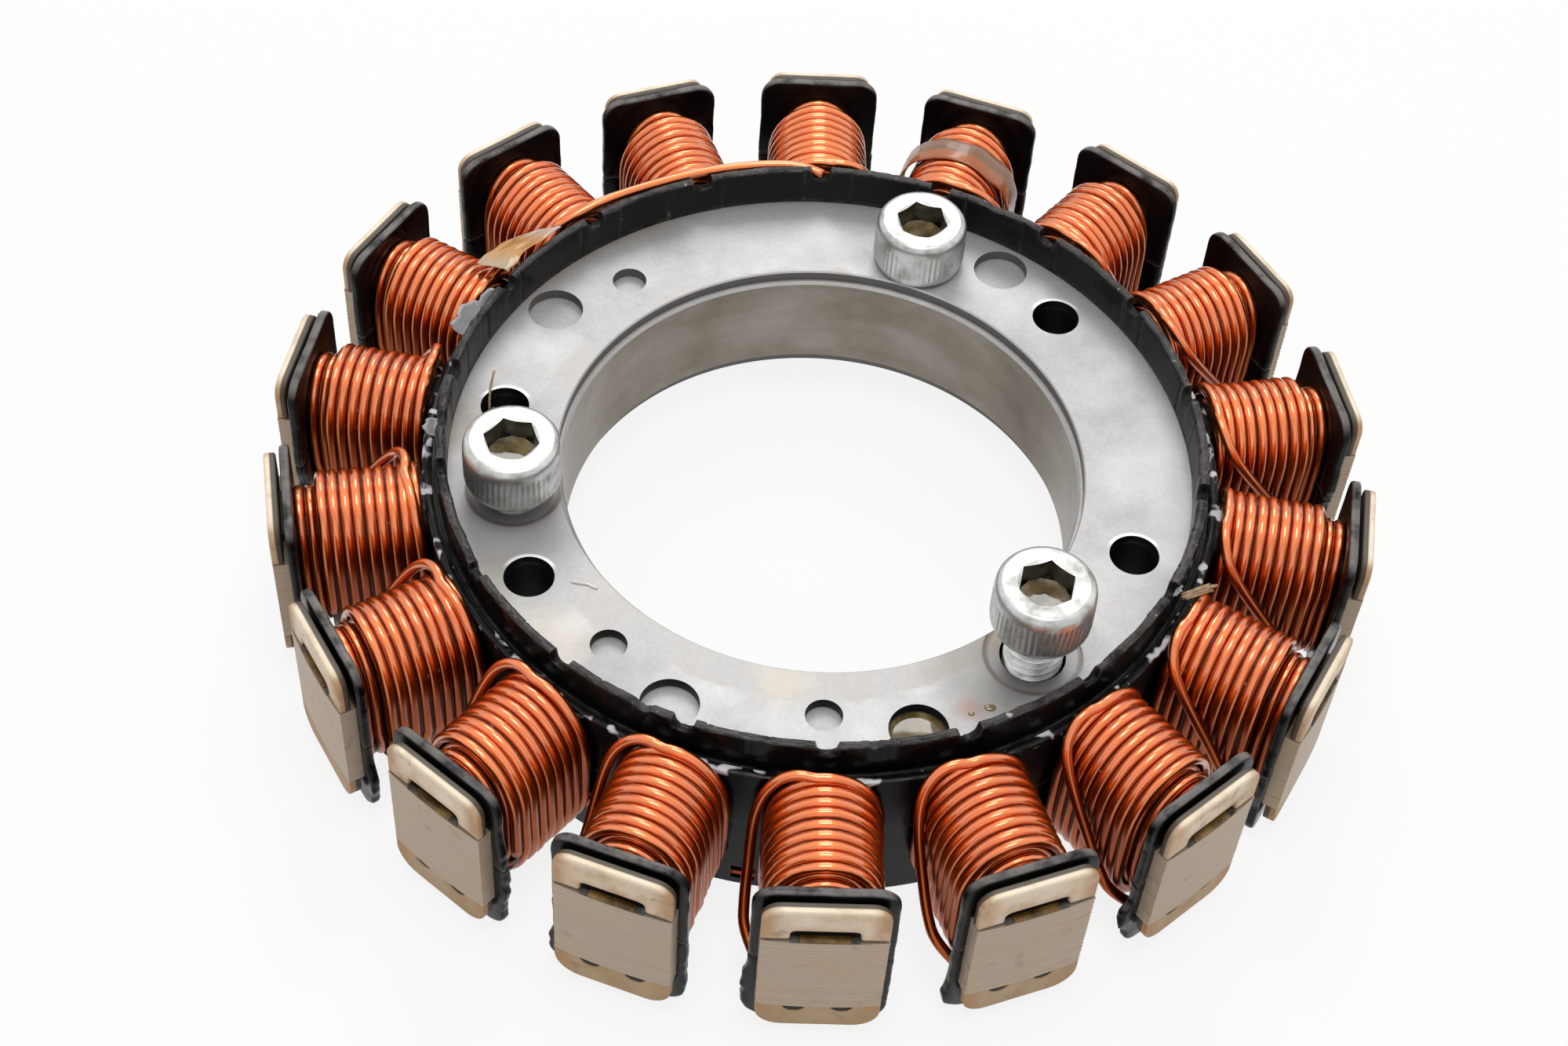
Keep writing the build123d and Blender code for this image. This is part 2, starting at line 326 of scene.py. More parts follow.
def put(tree, kind, inputs=None, **settings):
    """Add a node, set what it is, and fill its inputs."""
    node = tree.nodes.new(kind)
    for name, value in settings.items():
        setattr(node, name, value)
    fill(node, inputs or {})
    return node


def maths(tree, operation, first, second=0.0, clamp=False):
    """The result of one sum on two values."""
    return put(tree, "ShaderNodeMath", {0: first, 1: second}, operation=operation, use_clamp=clamp).outputs[0]


def times(tree, first, second):
    """The product of two values."""
    return maths(tree, "MULTIPLY", first, second)


def minus(tree, first, second):
    """What is left of a value."""
    return maths(tree, "SUBTRACT", first, second)


def vectors(tree, operation, first, second=(0, 0, 0)):
    """The result of one sum on two places."""
    node = put(tree, "ShaderNodeVectorMath", {0: first, 1: second}, operation=operation)
    return node.outputs["Value" if operation in ("LENGTH", "DISTANCE", "DOT_PRODUCT") else "Vector"]


def axis(tree, place, letter):
    """One coordinate of a place."""
    return put(tree, "ShaderNodeSeparateXYZ", {0: place}).outputs[letter]


def blend(tree, share, first, second, kind="MIX"):
    """One colour laid over another by a share."""
    inputs = {0: share, 6: first, 7: second}
    return put(tree, "ShaderNodeMix", inputs, data_type="RGBA", blend_type=kind).outputs[2]


def tinted(tree, base, mask, amount, colour):
    """A colour laid over a base where a mask is full, by an amount at most."""
    return blend(tree, times(tree, mask, amount), base, (*colour, 1))


def ramp(tree, value, stops):
    """Colours along a value."""
    node = put(tree, "ShaderNodeValToRGB", {0: value})
    for index, (place, colour) in enumerate(stops):
        stop = node.color_ramp.elements[index] if index < 2 else node.color_ramp.elements.new(place)
        stop.position = place
        stop.color = (*colour, 1)
    return node.outputs[0]


def step(tree, value, low, high, from_result=0.0, to_result=1.0):
    """A value that eases from one result to another as a second value passes from low to high."""
    inputs = {0: value, 1: low, 2: high, 3: from_result, 4: to_result}
    return put(tree, "ShaderNodeMapRange", inputs, interpolation_type="SMOOTHSTEP").outputs[0]


def step_mm(tree, distance, low, high):
    """A mask that fills as a distance passes from low to high, both in millimetres."""
    return step(tree, distance, low * MM, high * MM)


def grey(level):
    """A grey as a colour."""
    return (level, level, level)


def speckle(tree, place, scale, detail=3.0, rough=0.55):
    """Noise between 0 and 1 on a place."""
    inputs = {"Vector": place, "Scale": scale, "Detail": detail, "Roughness": rough}
    return put(tree, "ShaderNodeTexNoise", inputs).outputs[0]


def object_place(tree):
    """The place on the piece in its own coordinates."""
    return put(tree, "ShaderNodeTexCoord").outputs["Object"]


def own_map(tree, letter):
    """The place on the piece along one axis of its own map."""
    return axis(tree, put(tree, "ShaderNodeTexCoord").outputs["UV"], letter)


def upward(tree):
    """How far a face looks up."""
    return axis(tree, put(tree, "ShaderNodeNewGeometry").outputs["Normal"], "Z")


def reach_of(tree, place):
    """The distance of a place from the bore axis."""
    return vectors(tree, "LENGTH", vectors(tree, "MULTIPLY", place, (1, 1, 0)))


def near(tree, place, centre, inner, outer):
    """A mask that is full near a centre and fades out, with distances in millimetres."""
    return step_mm(tree, vectors(tree, "DISTANCE", place, centre), outer, inner)


def bump_up(tree, shader, height, strength, distance):
    """Let a height tilt the surface."""
    inputs = {"Height": height, "Strength": strength, "Distance": distance * MM}
    fill(shader, {"Normal": put(tree, "ShaderNodeBump", inputs).outputs[0]})


def new_material(name):
    """A material with its tree and its Principled shader."""
    material = bpy.data.materials.new(name)
    material.use_nodes = True
    return material, material.node_tree, material.node_tree.nodes["Principled BSDF"]


# %% [markdown]
# The floor is white paper in a white room. Rays that come straight from the camera, off a gloss
# or through glass see the paper and the room nearly pure white, and all other rays see them as
# plain and dim, so the background costs no extra light. A small lamp behind and one overhead draw
# the bright lines on wire and plate, two wide ones stand at the sides, and a weak one fills the front.

# %% Floor, world and lamps
paper_white = 0.93
paper_glow = 0.85
floor_size = 4.0
sky_strength = 0.35


def straight_rays(tree):
    """One for rays that come straight from the camera, off a gloss or through glass."""
    seen = put(tree, "ShaderNodeLightPath").outputs
    first = maths(tree, "MAXIMUM", seen["Is Camera Ray"], seen["Is Glossy Ray"])
    return maths(tree, "MAXIMUM", first, seen["Is Transmission Ray"])


bpy.ops.mesh.primitive_plane_add(size=floor_size, location=(0, 0, 0))
floor = made("floor")
paper, tree, shader = new_material("paper")
fill(shader, {"Base Color": (*grey(paper_white), 1), "Roughness": 0.9})
glow = put(tree, "ShaderNodeEmission", {"Color": (1, 1, 1, 1), "Strength": 1.0})
share = times(tree, straight_rays(tree), paper_glow)
mixed = put(tree, "ShaderNodeMixShader", {0: share, 1: shader.outputs[0], 2: glow.outputs[0]})
fill(tree.nodes["Material Output"], {"Surface": mixed.outputs[0]})
floor.data.materials.append(paper)

world = bpy.data.worlds.new("studio")
bpy.context.scene.world = world
world.use_nodes = True
tree = world.node_tree
sky = tree.nodes["Background"]
fill(sky, {"Color": (1, 1, 1, 1), "Strength": sky_strength})
white = put(tree, "ShaderNodeBackground", {"Color": (1, 1, 1, 1), "Strength": 1.0})
mixed = put(tree, "ShaderNodeMixShader", {0: straight_rays(tree), 1: sky.outputs[0], 2: white.outputs[0]})
fill(tree.nodes["World Output"], {"Surface": mixed.outputs[0]})

lamps = [("back", (0.0, 0.54, 0.55), 0.32, 1.55), ("overhead", (0.0, -0.02, 0.65), 0.27, 1.45),
         ("left side", (-0.6, 0.1, 0.5), 0.8, 0.75), ("right side", (0.6, 0.1, 0.5), 0.8, 0.8),
         ("front fill", (0.0, -0.6, 0.35), 0.5, 0.3)]
for name, place, width, power in lamps:
    data = bpy.data.lights.new(name, "AREA")
    data.size = width
    data.energy = power
    lamp = add(name, data)
    lamp.location = place
    lamp.rotation_euler = (-Vector(place)).to_track_quat("-Z", "Y").to_euler()
print("floor, world and", len(lamps), "lamps")

# %% [markdown]
# Finishes that several materials share are node groups. Edge wear compares the true normal with
# one rounded over a small radius: where they differ there is a corner. Sheet lines follow the
# height alone, because the sheets of the core lie flat, and each sheet gets its own tone.

# %% Shared effects as node groups
def new_group(name, inputs, outputs):
    """An empty shader group with named sockets: its tree, what it is given and where its results go."""
    group = bpy.data.node_groups.new(name, "ShaderNodeTree")
    for label, value in inputs.items():
        socket = group.interface.new_socket(label, in_out="INPUT", socket_type="NodeSocketFloat")
        socket.default_value = value
    for label in outputs:
        group.interface.new_socket(label, in_out="OUTPUT", socket_type="NodeSocketFloat")
    return group, group.nodes.new("NodeGroupInput").outputs, group.nodes.new("NodeGroupOutput")


def use_group(tree, group, **inputs):
    """Place a group in a material with its own values."""
    return put(tree, "ShaderNodeGroup", inputs, node_tree=group).outputs


edge_wear, given, result = new_group("edge wear", {"radius": 0.0002, "scale": 900.0}, ["mask"])
rounded = put(edge_wear, "ShaderNodeBevel", {"Radius": given["radius"]}, samples=6).outputs[0]
true = put(edge_wear, "ShaderNodeNewGeometry").outputs["Normal"]
corner = minus(edge_wear, 1.0, vectors(edge_wear, "DOT_PRODUCT", rounded, true))
corner = maths(edge_wear, "MULTIPLY", corner, 6.0, clamp=True)
cloud = speckle(edge_wear, object_place(edge_wear), given["scale"], 3.0, 0.5)
worn = maths(edge_wear, "MULTIPLY", corner, step(edge_wear, cloud, 0.3, 0.65), clamp=True)
fill(result, {"mask": worn})

mottle, given, result = new_group("mottle", {"scale": 60.0, "contrast": 3.0}, ["mask"])
cloud = minus(mottle, speckle(mottle, object_place(mottle), given["scale"], 5.0, 0.6), 0.5)
fill(result, {"mask": maths(mottle, "ADD", times(mottle, cloud, given["contrast"]), 0.5, clamp=True)})

flecks, given, result = new_group("flecks", {"scale": 1200.0, "amount": 0.3}, ["mask"])
fine = speckle(flecks, object_place(flecks), given["scale"], 1.0, 0.5)
least = minus(flecks, 0.85, times(flecks, given["amount"], 0.35))
fill(result, {"mask": maths(flecks, "MULTIPLY", minus(flecks, fine, least), 14.0, clamp=True)})

laminations, given, result = new_group("laminations", {"softness": 0.12}, ["tone", "joint"])
height = minus(laminations, axis(laminations, object_place(laminations), "Z"), core_low * MM)
sheets = maths(laminations, "DIVIDE", height, sheet_pitch * MM)
number = maths(laminations, "FLOOR", sheets)
from_middle = maths(laminations, "ABSOLUTE", minus(laminations, maths(laminations, "FRACT", sheets), 0.5))
start = minus(laminations, 0.42, given["softness"])
joint = put(laminations, "ShaderNodeMapRange", {0: from_middle, 1: start, 2: 0.5, 3: 0.0, 4: 1.0}).outputs[0]
dice = put(laminations, "ShaderNodeTexWhiteNoise", {"W": number}, noise_dimensions="1D").outputs[0]
fill(result, {"tone": dice, "joint": joint})
print("groups:", [group.name for group in bpy.data.node_groups])


# %% [markdown]
# Copper magnet wire is orange metal under a clear enamel, so a metallic base carries a thin,
# strong gloss coat. Low on the flanks the wire lies deep between its neighbours and sees little
# light, so tint and coat both fall off with height. The dipping varnish between the turns dried to
# a dark brown film with flecks.

# %% Enamelled copper, and the dark film between its turns
copper, tree, shader = new_material("enamelled copper")
place = object_place(tree)
orange_stops = [(0.3, (0.6, 0.115, 0.008)), (0.52, (0.68, 0.14, 0.012)), (0.72, (0.75, 0.172, 0.02))]
orange = ramp(tree, speckle(tree, place, 75.0), orange_stops)
low_down = step_mm(tree, axis(tree, place, "Z"), lip_top + 0.3, middle + 1.25)
orange = tinted(tree, orange, low_down, 0.75, (0.2, 0.034, 0.003))
dust = use_group(tree, flecks, scale=800.0, amount=0.38)[0]
fill(shader, {
    "Base Color": tinted(tree, orange, dust, 0.3, (0.25, 0.14, 0.09)),
    "Roughness": step(tree, speckle(tree, place, 200.0, 1.0), 0.3, 0.7, 0.3, 0.38),
    "Metallic": 1.0,
    "Coat Weight": minus(tree, 1.0, times(tree, low_down, 0.85)),
    "Coat IOR": 1.8,
    "Coat Roughness": 0.08,
})
bump_up(tree, shader, speckle(tree, place, 300.0, 1.0), 0.04, 0.05)

film, tree, shader = new_material("varnish film")
spots = use_group(tree, flecks, scale=1300.0, amount=0.45)[0]
brown_stops = [(0.3, (0.02, 0.005, 0.001)), (0.7, (0.08, 0.02, 0.004))]
brown = ramp(tree, speckle(tree, object_place(tree), 220.0), brown_stops)
brown = tinted(tree, brown, spots, 0.6, (0.4, 0.3, 0.24))
fill(shader, {"Base Color": brown, "Roughness": 0.3, "Specular IOR Level": 0.15})
bump_up(tree, shader, speckle(tree, object_place(tree), 700.0, 2.0), 0.5, 0.08)
print("copper and film")

# %% [markdown]
# The end plates are one steel with two faces. The ring is bright and dull, with stains, two grey
# spots of painted shade and reflection beside the raised screws, a brown mark where each raised screw
# had sat, painted shade on its upright walls and a painted highlight arc on the far side of each plain
# hole. The tabs are cream under old varnish, darker at their edges, below the bend and round the
# slot, with a painted shadow line at the foot of each upper tab, painted shade on their backs and
# deep in the slot, and a painted highlight along the top of each upper tab. The tabs' marks
# belong to a place on the tab, so they are drawn on a map that runs across and up the pole front.

# %% Steel of the ring
front_width = 14.0
front_height = 40.0
steel, tree, shader = new_material("plate steel")
place = object_place(tree)
reach = reach_of(tree, place)
clouds = use_group(tree, mottle, scale=95.0, contrast=2.2)[0]
grit = speckle(tree, place, 2600.0)
ring_stops = [(0.05, (0.38, 0.376, 0.368)), (0.5, (0.455, 0.451, 0.444)), (0.95, (0.51, 0.507, 0.503))]
grit_tint = ramp(tree, grit, [(0.3, grey(0.72)), (0.6, grey(1.0))])
ring_tint = blend(tree, 0.3, ramp(tree, clouds, ring_stops), grit_tint, "MULTIPLY")

stain_drift = 0.0035
mean_drift = 0.0017
wobble = vectors(tree, "MULTIPLY", speckle(tree, place, 260.0), (stain_drift,) * 3)
drifted = vectors(tree, "ADD", place, wobble)
drifted_reach = reach_of(tree, drifted)
leftward = step_mm(tree, axis(tree, place, "X"), -8, -30)
by_rim = times(tree, step_mm(tree, drifted_reach, rim_inner - 2.1, rim_inner + 1.4), leftward)
ring_tint = tinted(tree, ring_tint, by_rim, 0.75, (0.3, 0.24, 0.17))

# A stain is its angle and circle, its full and its outer radius, its amount and its colour. The two grey
# ones beside the screws at -80 and 40 degrees are painted shade and reflection of the screw heads.
stains_and_screw_shade = [(-76, 31.5, 5.5, 11.5, 0.5, (0.25, 0.24, 0.23)), (33, 31.0, 4.0, 8.5, 0.6, (0.24, 0.23, 0.215)),
          (-62, 37.5, 1.0, 5.5, 0.4, (0.3, 0.26, 0.2)), (-95, 38.0, 1.0, 6.0, 0.4, (0.27, 0.23, 0.17)),
          (24.4, 34.3, 0.2, 2.2, 0.6, (0.34, 0.2, 0.16)), (-7.8, 28.4, 1.0, 4.5, 0.3, (0.66, 0.56, 0.44)),
          (-47, 36.5, 1.5, 6.5, 0.25, (0.62, 0.52, 0.4)), (38, 28.5, 0.5, 3.0, 0.45, (0.34, 0.27, 0.2))]
for angle, circle, inner, outer, amount, colour in stains_and_screw_shade:
    centre = spot(angle, circle, plate_top) + Vector((mean_drift,) * 3)
    ring_tint = tinted(tree, ring_tint, near(tree, drifted, centre, inner, outer), amount, colour)
for angle in screw_angles[1:]:
    seat = spot(angle, screw_circle, plate_top)
    inside = minus(tree, 1.0, near(tree, place, seat, 4.25, 4.7))
    mark = times(tree, near(tree, place, seat, 4.85, 5.15), inside)
    mark = times(tree, mark, step(tree, clouds, 0.0, 0.5))
    ring_tint = tinted(tree, ring_tint, mark, 0.75, (0.13, 0.11, 0.09))
by_bore = step_mm(tree, drifted_reach, bore_radius + 2.85, bore_radius + 2.15)
by_bore = times(tree, by_bore, step(tree, clouds, 0.3, 0.8))
ring_tint = tinted(tree, ring_tint, by_bore, 0.3, (0.24, 0.19, 0.14))
# Painted highlight: a pale arc on the far edge of each plain hole.
for angle, circle, radius in plain_holes:
    centre = spot(angle, circle, plate_top)
    far_side = step(tree, axis(tree, place, "Y"), centre.y + 0.8 * MM, centre.y + 2 * MM)
    painted_highlight_arc = times(tree, near(tree, place, centre, radius + 0.2, radius + 0.5), far_side)
    ring_tint = tinted(tree, ring_tint, painted_highlight_arc, 0.8, grey(0.85))
# Painted shade: upright walls of the steel, such as those of the holes and recesses, are darkened.
upright_painted_shade = step(tree, maths(tree, "ABSOLUTE", upward(tree)), 0.5, 0.2)
ring_tint = tinted(tree, ring_tint, upright_painted_shade, 0.8, (0.07, 0.066, 0.06))
print(len(stains_and_screw_shade), "stains on the ring")

# %% Varnished steel of the tabs
across = maths(tree, "ABSOLUTE", times(tree, minus(tree, own_map(tree, "X"), 0.5), front_width))
above = minus(tree, times(tree, own_map(tree, "Y"), front_height), plate_top)
age = use_group(tree, mottle, scale=230.0, contrast=2.4)[0]
low_tab = step(tree, above, -12.0, -12.6)
burnt = times(tree, step(tree, across, 3.4, 5.4), step(tree, age, 0.15, 0.65))
edge_grime = use_group(tree, edge_wear, radius=0.0006, scale=700.0)[0]
specks = step(tree, speckle(tree, place, 420.0, 4.0), 0.6, 0.7)
by_slot = times(tree, step(tree, above, 1.6, 0.2), step(tree, across, 4.2, 2.6))
by_slot = times(tree, by_slot, step(tree, above, -2.0, -1.2))
# Painted shadow: a dark line at the seam where each upper tab stands on its shoe.
painted_shadow_line = maths(tree, "ABSOLUTE", maths(tree, "ADD", above, plate_thickness))
painted_shadow_line = times(tree, step(tree, painted_shadow_line, 0.55, 0.25), step(tree, across, 6.0, 5.4))
# Painted highlight: a pale cream band along the top of each upper tab.
painted_highlight_top = times(tree, step(tree, above, 2.9, 3.5), step(tree, across, 5.6, 4.2))
# Painted shade: near black on the tab's back and deep in its slot, over a millimetre behind the front.
squares = minus(tree, maths(tree, "POWER", reach, 2.0), maths(tree, "POWER", times(tree, across, MM), 2.0))
painted_shade_behind = step_mm(tree, maths(tree, "SQRT", squares), outer_radius - 0.8, outer_radius - 1.0)
cream = ramp(tree, age, [(0.1, (0.47, 0.31, 0.18)), (0.45, (0.72, 0.55, 0.39)), (0.9, (0.8, 0.68, 0.55))])
tab_marks = [(low_tab, 0.75, (0.36, 0.225, 0.095)), (burnt, 0.8, (0.42, 0.22, 0.08)),
             (edge_grime, 0.4, (0.3, 0.19, 0.1)), (specks, 0.5, (0.24, 0.14, 0.06)),
             (by_slot, 0.45, (0.4, 0.24, 0.11)), (painted_shadow_line, 0.9, (0.06, 0.04, 0.025)),
             (painted_highlight_top, 0.5, (0.93, 0.83, 0.64)), (painted_shade_behind, 0.9, (0.02, 0.015, 0.012))]
for mask, amount, colour in tab_marks:
    cream = tinted(tree, cream, mask, amount, colour)
on_tab = step_mm(tree, reach, shoe_back - 0.6, shoe_back + 0.1)
fill(shader, {
    "Base Color": blend(tree, on_tab, ring_tint, cream),
    "Metallic": minus(tree, 0.8, times(tree, on_tab, 0.6)),
    "Roughness": step(tree, clouds, 0.0, 1.0, 0.62, 0.54),
})
bump_up(tree, shader, grit, 0.25, 0.03)
print(len(tab_marks), "marks on the tabs")

# %% [markdown]
# The core is bare steel. A tool turned its bore, which left fine rings and a soft shine, and the
# bore's colour is darkened as painted shade for its dim inside. Its shoes are the cut edges of the
# sheets, grey beige under varnish with a dark line at each joint.
# One material serves both, split by the distance from the bore axis.

# %% Core steel
core_finish, tree, shader = new_material("core steel")
place = object_place(tree)
sheets = use_group(tree, laminations, softness=0.14)
shoe_stops = [(0.0, (0.43, 0.345, 0.255)), (0.5, (0.45, 0.365, 0.27)), (1.0, (0.47, 0.385, 0.285))]
shoe_tint = ramp(tree, sheets["tone"], shoe_stops)
tan = use_group(tree, mottle, scale=170.0, contrast=4.0)[0]
bare = use_group(tree, mottle, scale=260.0, contrast=4.5)[0]
soot = step(tree, speckle(tree, place, 340.0, 5.0), 0.6, 0.72)
shoe_marks = [(sheets["joint"], 0.28, (0.2, 0.155, 0.11)), (tan, 0.45, (0.47, 0.34, 0.215)),
              (bare, 0.35, (0.4, 0.365, 0.33)), (soot, 0.3, (0.17, 0.12, 0.08))]
for mask, amount, colour in shoe_marks:
    shoe_tint = tinted(tree, shoe_tint, mask, amount, colour)
shoe_tint = blend(tree, 1.0, shoe_tint, (1.02, 0.97, 0.93, 1), "MULTIPLY")

clouded = speckle(tree, vectors(tree, "MULTIPLY", place, (1, 1, 1.6)), 62.0, 5.0, 0.6)
# Painted shade: the bore's colours are kept well below bright turned steel, for the dim inside of the bore.
painted_shade_bore_stops = [(0.3, (0.13, 0.105, 0.08)), (0.52, (0.225, 0.195, 0.16)), (0.7, (0.31, 0.28, 0.245))]
rings = speckle(tree, vectors(tree, "MULTIPLY", place, (0.05, 0.05, 1)), 900.0)
ring_shades = ramp(tree, rings, [(0.3, grey(0.6)), (0.7, grey(1.0))])
bore_tint = blend(tree, 0.22, ramp(tree, clouded, painted_shade_bore_stops), ring_shades, "MULTIPLY")
bore_tint = tinted(tree, bore_tint, sheets["joint"], 0.1, (0.1, 0.09, 0.08))

outside = step_mm(tree, reach_of(tree, place), yoke_radius - 0.2, yoke_radius + 0.8)
fill(shader, {
    "Base Color": blend(tree, outside, bore_tint, shoe_tint),
    "Metallic": minus(tree, 0.9, times(tree, outside, 0.65)),
    "Roughness": maths(tree, "ADD", 0.33, times(tree, outside, 0.14)),
})
groove = times(tree, sheets["joint"], maths(tree, "ADD", 0.12, times(tree, outside, 0.88)))
bump_up(tree, shader, minus(tree, 1.0, groove), 0.3, 0.04)
print("core steel with", len(shoe_marks), "marks on its shoes")

# %% [markdown]
# The insulator is a glossy black plastic. It is dusty where it looks up, with painted sheen there
# too, has painted white glints along the lip behind the coils and on its worn edges and rim top, and
# is grey where its edges are rubbed. The torn flaps are the same plastic seen where it broke, so one
# function makes both from their own colours.

# %% Black moulding, whole and torn
def moulding(name, dull, shiny, rubbed_colour, dust_and_sheen_colour):
    """A black plastic with worn edges, painted glints on them and on the lip, and dust with painted sheen."""
    material, tree, shader = new_material(name)
    place = object_place(tree)
    reach = reach_of(tree, place)
    height = axis(tree, place, "Z")
    worn = use_group(tree, edge_wear, radius=0.0005, scale=500.0)[0]
    cloud = use_group(tree, mottle, scale=110.0, contrast=3.0)[0]
    top = step(tree, upward(tree), 0.35, 0.9)

    on_rim = times(tree, step_mm(tree, height, rim_top - 1.15, rim_top - 0.75),
                   step_mm(tree, reach, hub_radius, hub_radius - 0.7))
    inner_wall = times(tree, step_mm(tree, height, plate_top - 0.2, plate_top + 0.6),
                       step_mm(tree, reach, rim_inner + 0.6, rim_inner + 0.2))
    on_cheeks = step_mm(tree, reach, cheek_inner - 1.1, cheek_inner - 0.1)
    # Dust and painted sheen: up-facing faces of the rim top and the cheeks are made paler grey.
    dust = maths(tree, "MAXIMUM", times(tree, on_rim, 0.35), on_cheeks)
    dust = times(tree, dust, step(tree, speckle(tree, place, 420.0, 4.0), 0.25, 0.6))
    dust = times(tree, dust, top)
    rough_edge = maths(tree, "MAXIMUM", worn, times(tree, on_rim, top))
    # Painted glints: pale flecks on worn edges and along the rim's top.
    painted_edge_glints = times(tree, use_group(tree, flecks, scale=900.0, amount=0.35)[0], rough_edge)
    # Painted glints: near-white flecks along the lip behind the coils.
    painted_lip_glints = use_group(tree, flecks, scale=620.0, amount=0.75)[0]
    lip_limits = [(height, lip_top - 0.7, lip_top - 0.2), (height, lip_top + 0.8, lip_top + 0.4),
                  (reach, yoke_radius - 0.3, yoke_radius - 0.1), (reach, hub_radius + 0.4, hub_radius + 0.1)]
    for distance, low, high in lip_limits:
        painted_lip_glints = times(tree, painted_lip_glints, step_mm(tree, distance, low, high))

    base = ramp(tree, cloud, [(0.0, dull), (1.0, shiny)])
    for mask, amount, colour in ((inner_wall, 0.5, grey(0.018)), (worn, 0.75, rubbed_colour),
                                 (dust, 0.85, dust_and_sheen_colour), (painted_edge_glints, 1.0, (0.45, 0.45, 0.46)),
                                 (painted_lip_glints, 1.0, (0.7, 0.7, 0.72))):
        base = tinted(tree, base, mask, amount, colour)
    fill(shader, {"Base Color": base, "Roughness": step(tree, cloud, 0.0, 1.0, 0.2, 0.36),
                  "Specular IOR Level": 0.13})
    bump_up(tree, shader, speckle(tree, place, 520.0), 0.22, 0.08)
    print(name)
    return material


black = moulding("black moulding", (0.002, 0.002, 0.0022), (0.006, 0.0058, 0.0056), (0.11, 0.107, 0.104),
                 (0.22, 0.205, 0.195))
torn = moulding("torn moulding", (0.1, 0.102, 0.105), (0.22, 0.22, 0.222), grey(0.6), grey(0.3))

# %% [markdown]
# The smaller finishes are one patchy colour each: painted shade for the walls of the holes, grey in
# the sockets, varnish that pooled, clear or brown, and the twine that laced the coils. Zinc plate also
# has nicks that shine on its edges.

# %% Hole walls, zinc plate, sockets, varnish and lacing
def patchy(name, scale, detail, stops, values):
    """A finish whose colour follows one noise, with plain values for the rest."""
    material, tree, shader = new_material(name)
    patches = speckle(tree, object_place(tree), scale, detail)
    fill(shader, {"Base Color": ramp(tree, patches, stops), **values})
    return material, tree, shader, patches


# Painted shade: a near-black material for the walls of holes and front recesses.
hole_shade = patchy("hole wall in painted shade", 700.0, 4.0, [(0.3, grey(0.003)), (0.8, grey(0.016))],
              {"Roughness": 0.5, "Metallic": 0.6})[0]
socket_stops = [(0.3, (0.06, 0.058, 0.048)), (0.55, (0.16, 0.157, 0.135)), (0.75, (0.34, 0.34, 0.3))]
socket = patchy("socket wall", 520.0, 4.0, socket_stops, {"Roughness": 0.32, "Metallic": 0.85})[0]
old_stops = [(0.3, (0.03, 0.015, 0.004)), (0.5, (0.16, 0.085, 0.02)), (0.7, (0.32, 0.19, 0.06))]
slot_brown = patchy("old varnish in the slots", 600.0, 3.0, old_stops,
                    {"Roughness": 0.45, "Specular IOR Level": 0.3})[0]
twine = patchy("lacing fibre", 1400.0, 3.0, [(0.3, (0.2, 0.11, 0.05)), (0.7, (0.52, 0.37, 0.22))],
               {"Roughness": 0.7})[0]

amber_stops = [(0.3, (0.05, 0.035, 0.012)), (0.5, (0.17, 0.115, 0.045)), (0.7, (0.33, 0.26, 0.13))]
varnish, tree, shader, patches = patchy("dried varnish", 420.0, 3.0, amber_stops,
                                        {"Roughness": 0.06, "Coat Weight": 0.5, "Coat Roughness": 0.03})
bump_up(tree, shader, speckle(tree, object_place(tree), 160.0, 2.0), 0.5, 0.5)

clear_stops = [(0.3, (0.8, 0.78, 0.74)), (0.7, (0.95, 0.95, 0.94))]
clear_varnish, tree, shader, patches = patchy("clear varnish", 500.0, 3.0, clear_stops,
                                              {"Roughness": 0.08, "Coat Weight": 1.0})
fill(shader, {"Alpha": step(tree, patches, 0.3, 0.7, 0.7, 0.95)})

zinc, tree, shader = new_material("zinc plate")
place = object_place(tree)
bloom = speckle(tree, place, 420.0, 5.0)
zinc_stops = [(0.3, (0.25, 0.25, 0.23)), (0.5, (0.5, 0.505, 0.485)), (0.75, (0.62, 0.625, 0.61))]
plating = ramp(tree, bloom, zinc_stops)
nicks = use_group(tree, edge_wear, radius=0.00035, scale=1500.0)[0]
fill(shader, {"Base Color": tinted(tree, plating, nicks, 0.6, grey(0.9)), "Metallic": 0.85,
              "Roughness": step(tree, bloom, 0.3, 0.7, 0.42, 0.28)})
bump_up(tree, shader, speckle(tree, place, 620.0, 4.0), 0.35, 0.07)
print("seven smaller finishes")


# %% [markdown]
# Old adhesive tape is amber film. Its colour runs along one axis of its own map: across the band,
# from a dark orange edge by the hub, painted shade, to a grey far part, a painted reflection of the
# lamp; along the scrap, amber in the middle and beige at its ends.

# %% Old amber tape
def tape_material(name, along, stops, clearest):
    """Amber film whose colour runs along one axis of its own map."""
    material, tree, shader = new_material(name)
    mapped = own_map(tree, along)
    age = use_group(tree, mottle, scale=300.0, contrast=1.6)[0]
    uneven = times(tree, minus(tree, age, 0.5), 0.2)
    fill(shader, {
        "Base Color": ramp(tree, maths(tree, "ADD", mapped, uneven), stops),
        "Roughness": 0.3,
        "Coat Weight": 0.4,
        "Subsurface Weight": 0.2,
        "Subsurface Radius": (0.0012, 0.0005, 0.0002),
        "Alpha": step(tree, mapped, 0.35, 0.6, 0.97, clearest),
    })
    bump_up(tree, shader, speckle(tree, object_place(tree), 420.0), 0.3, 0.08)
    return material


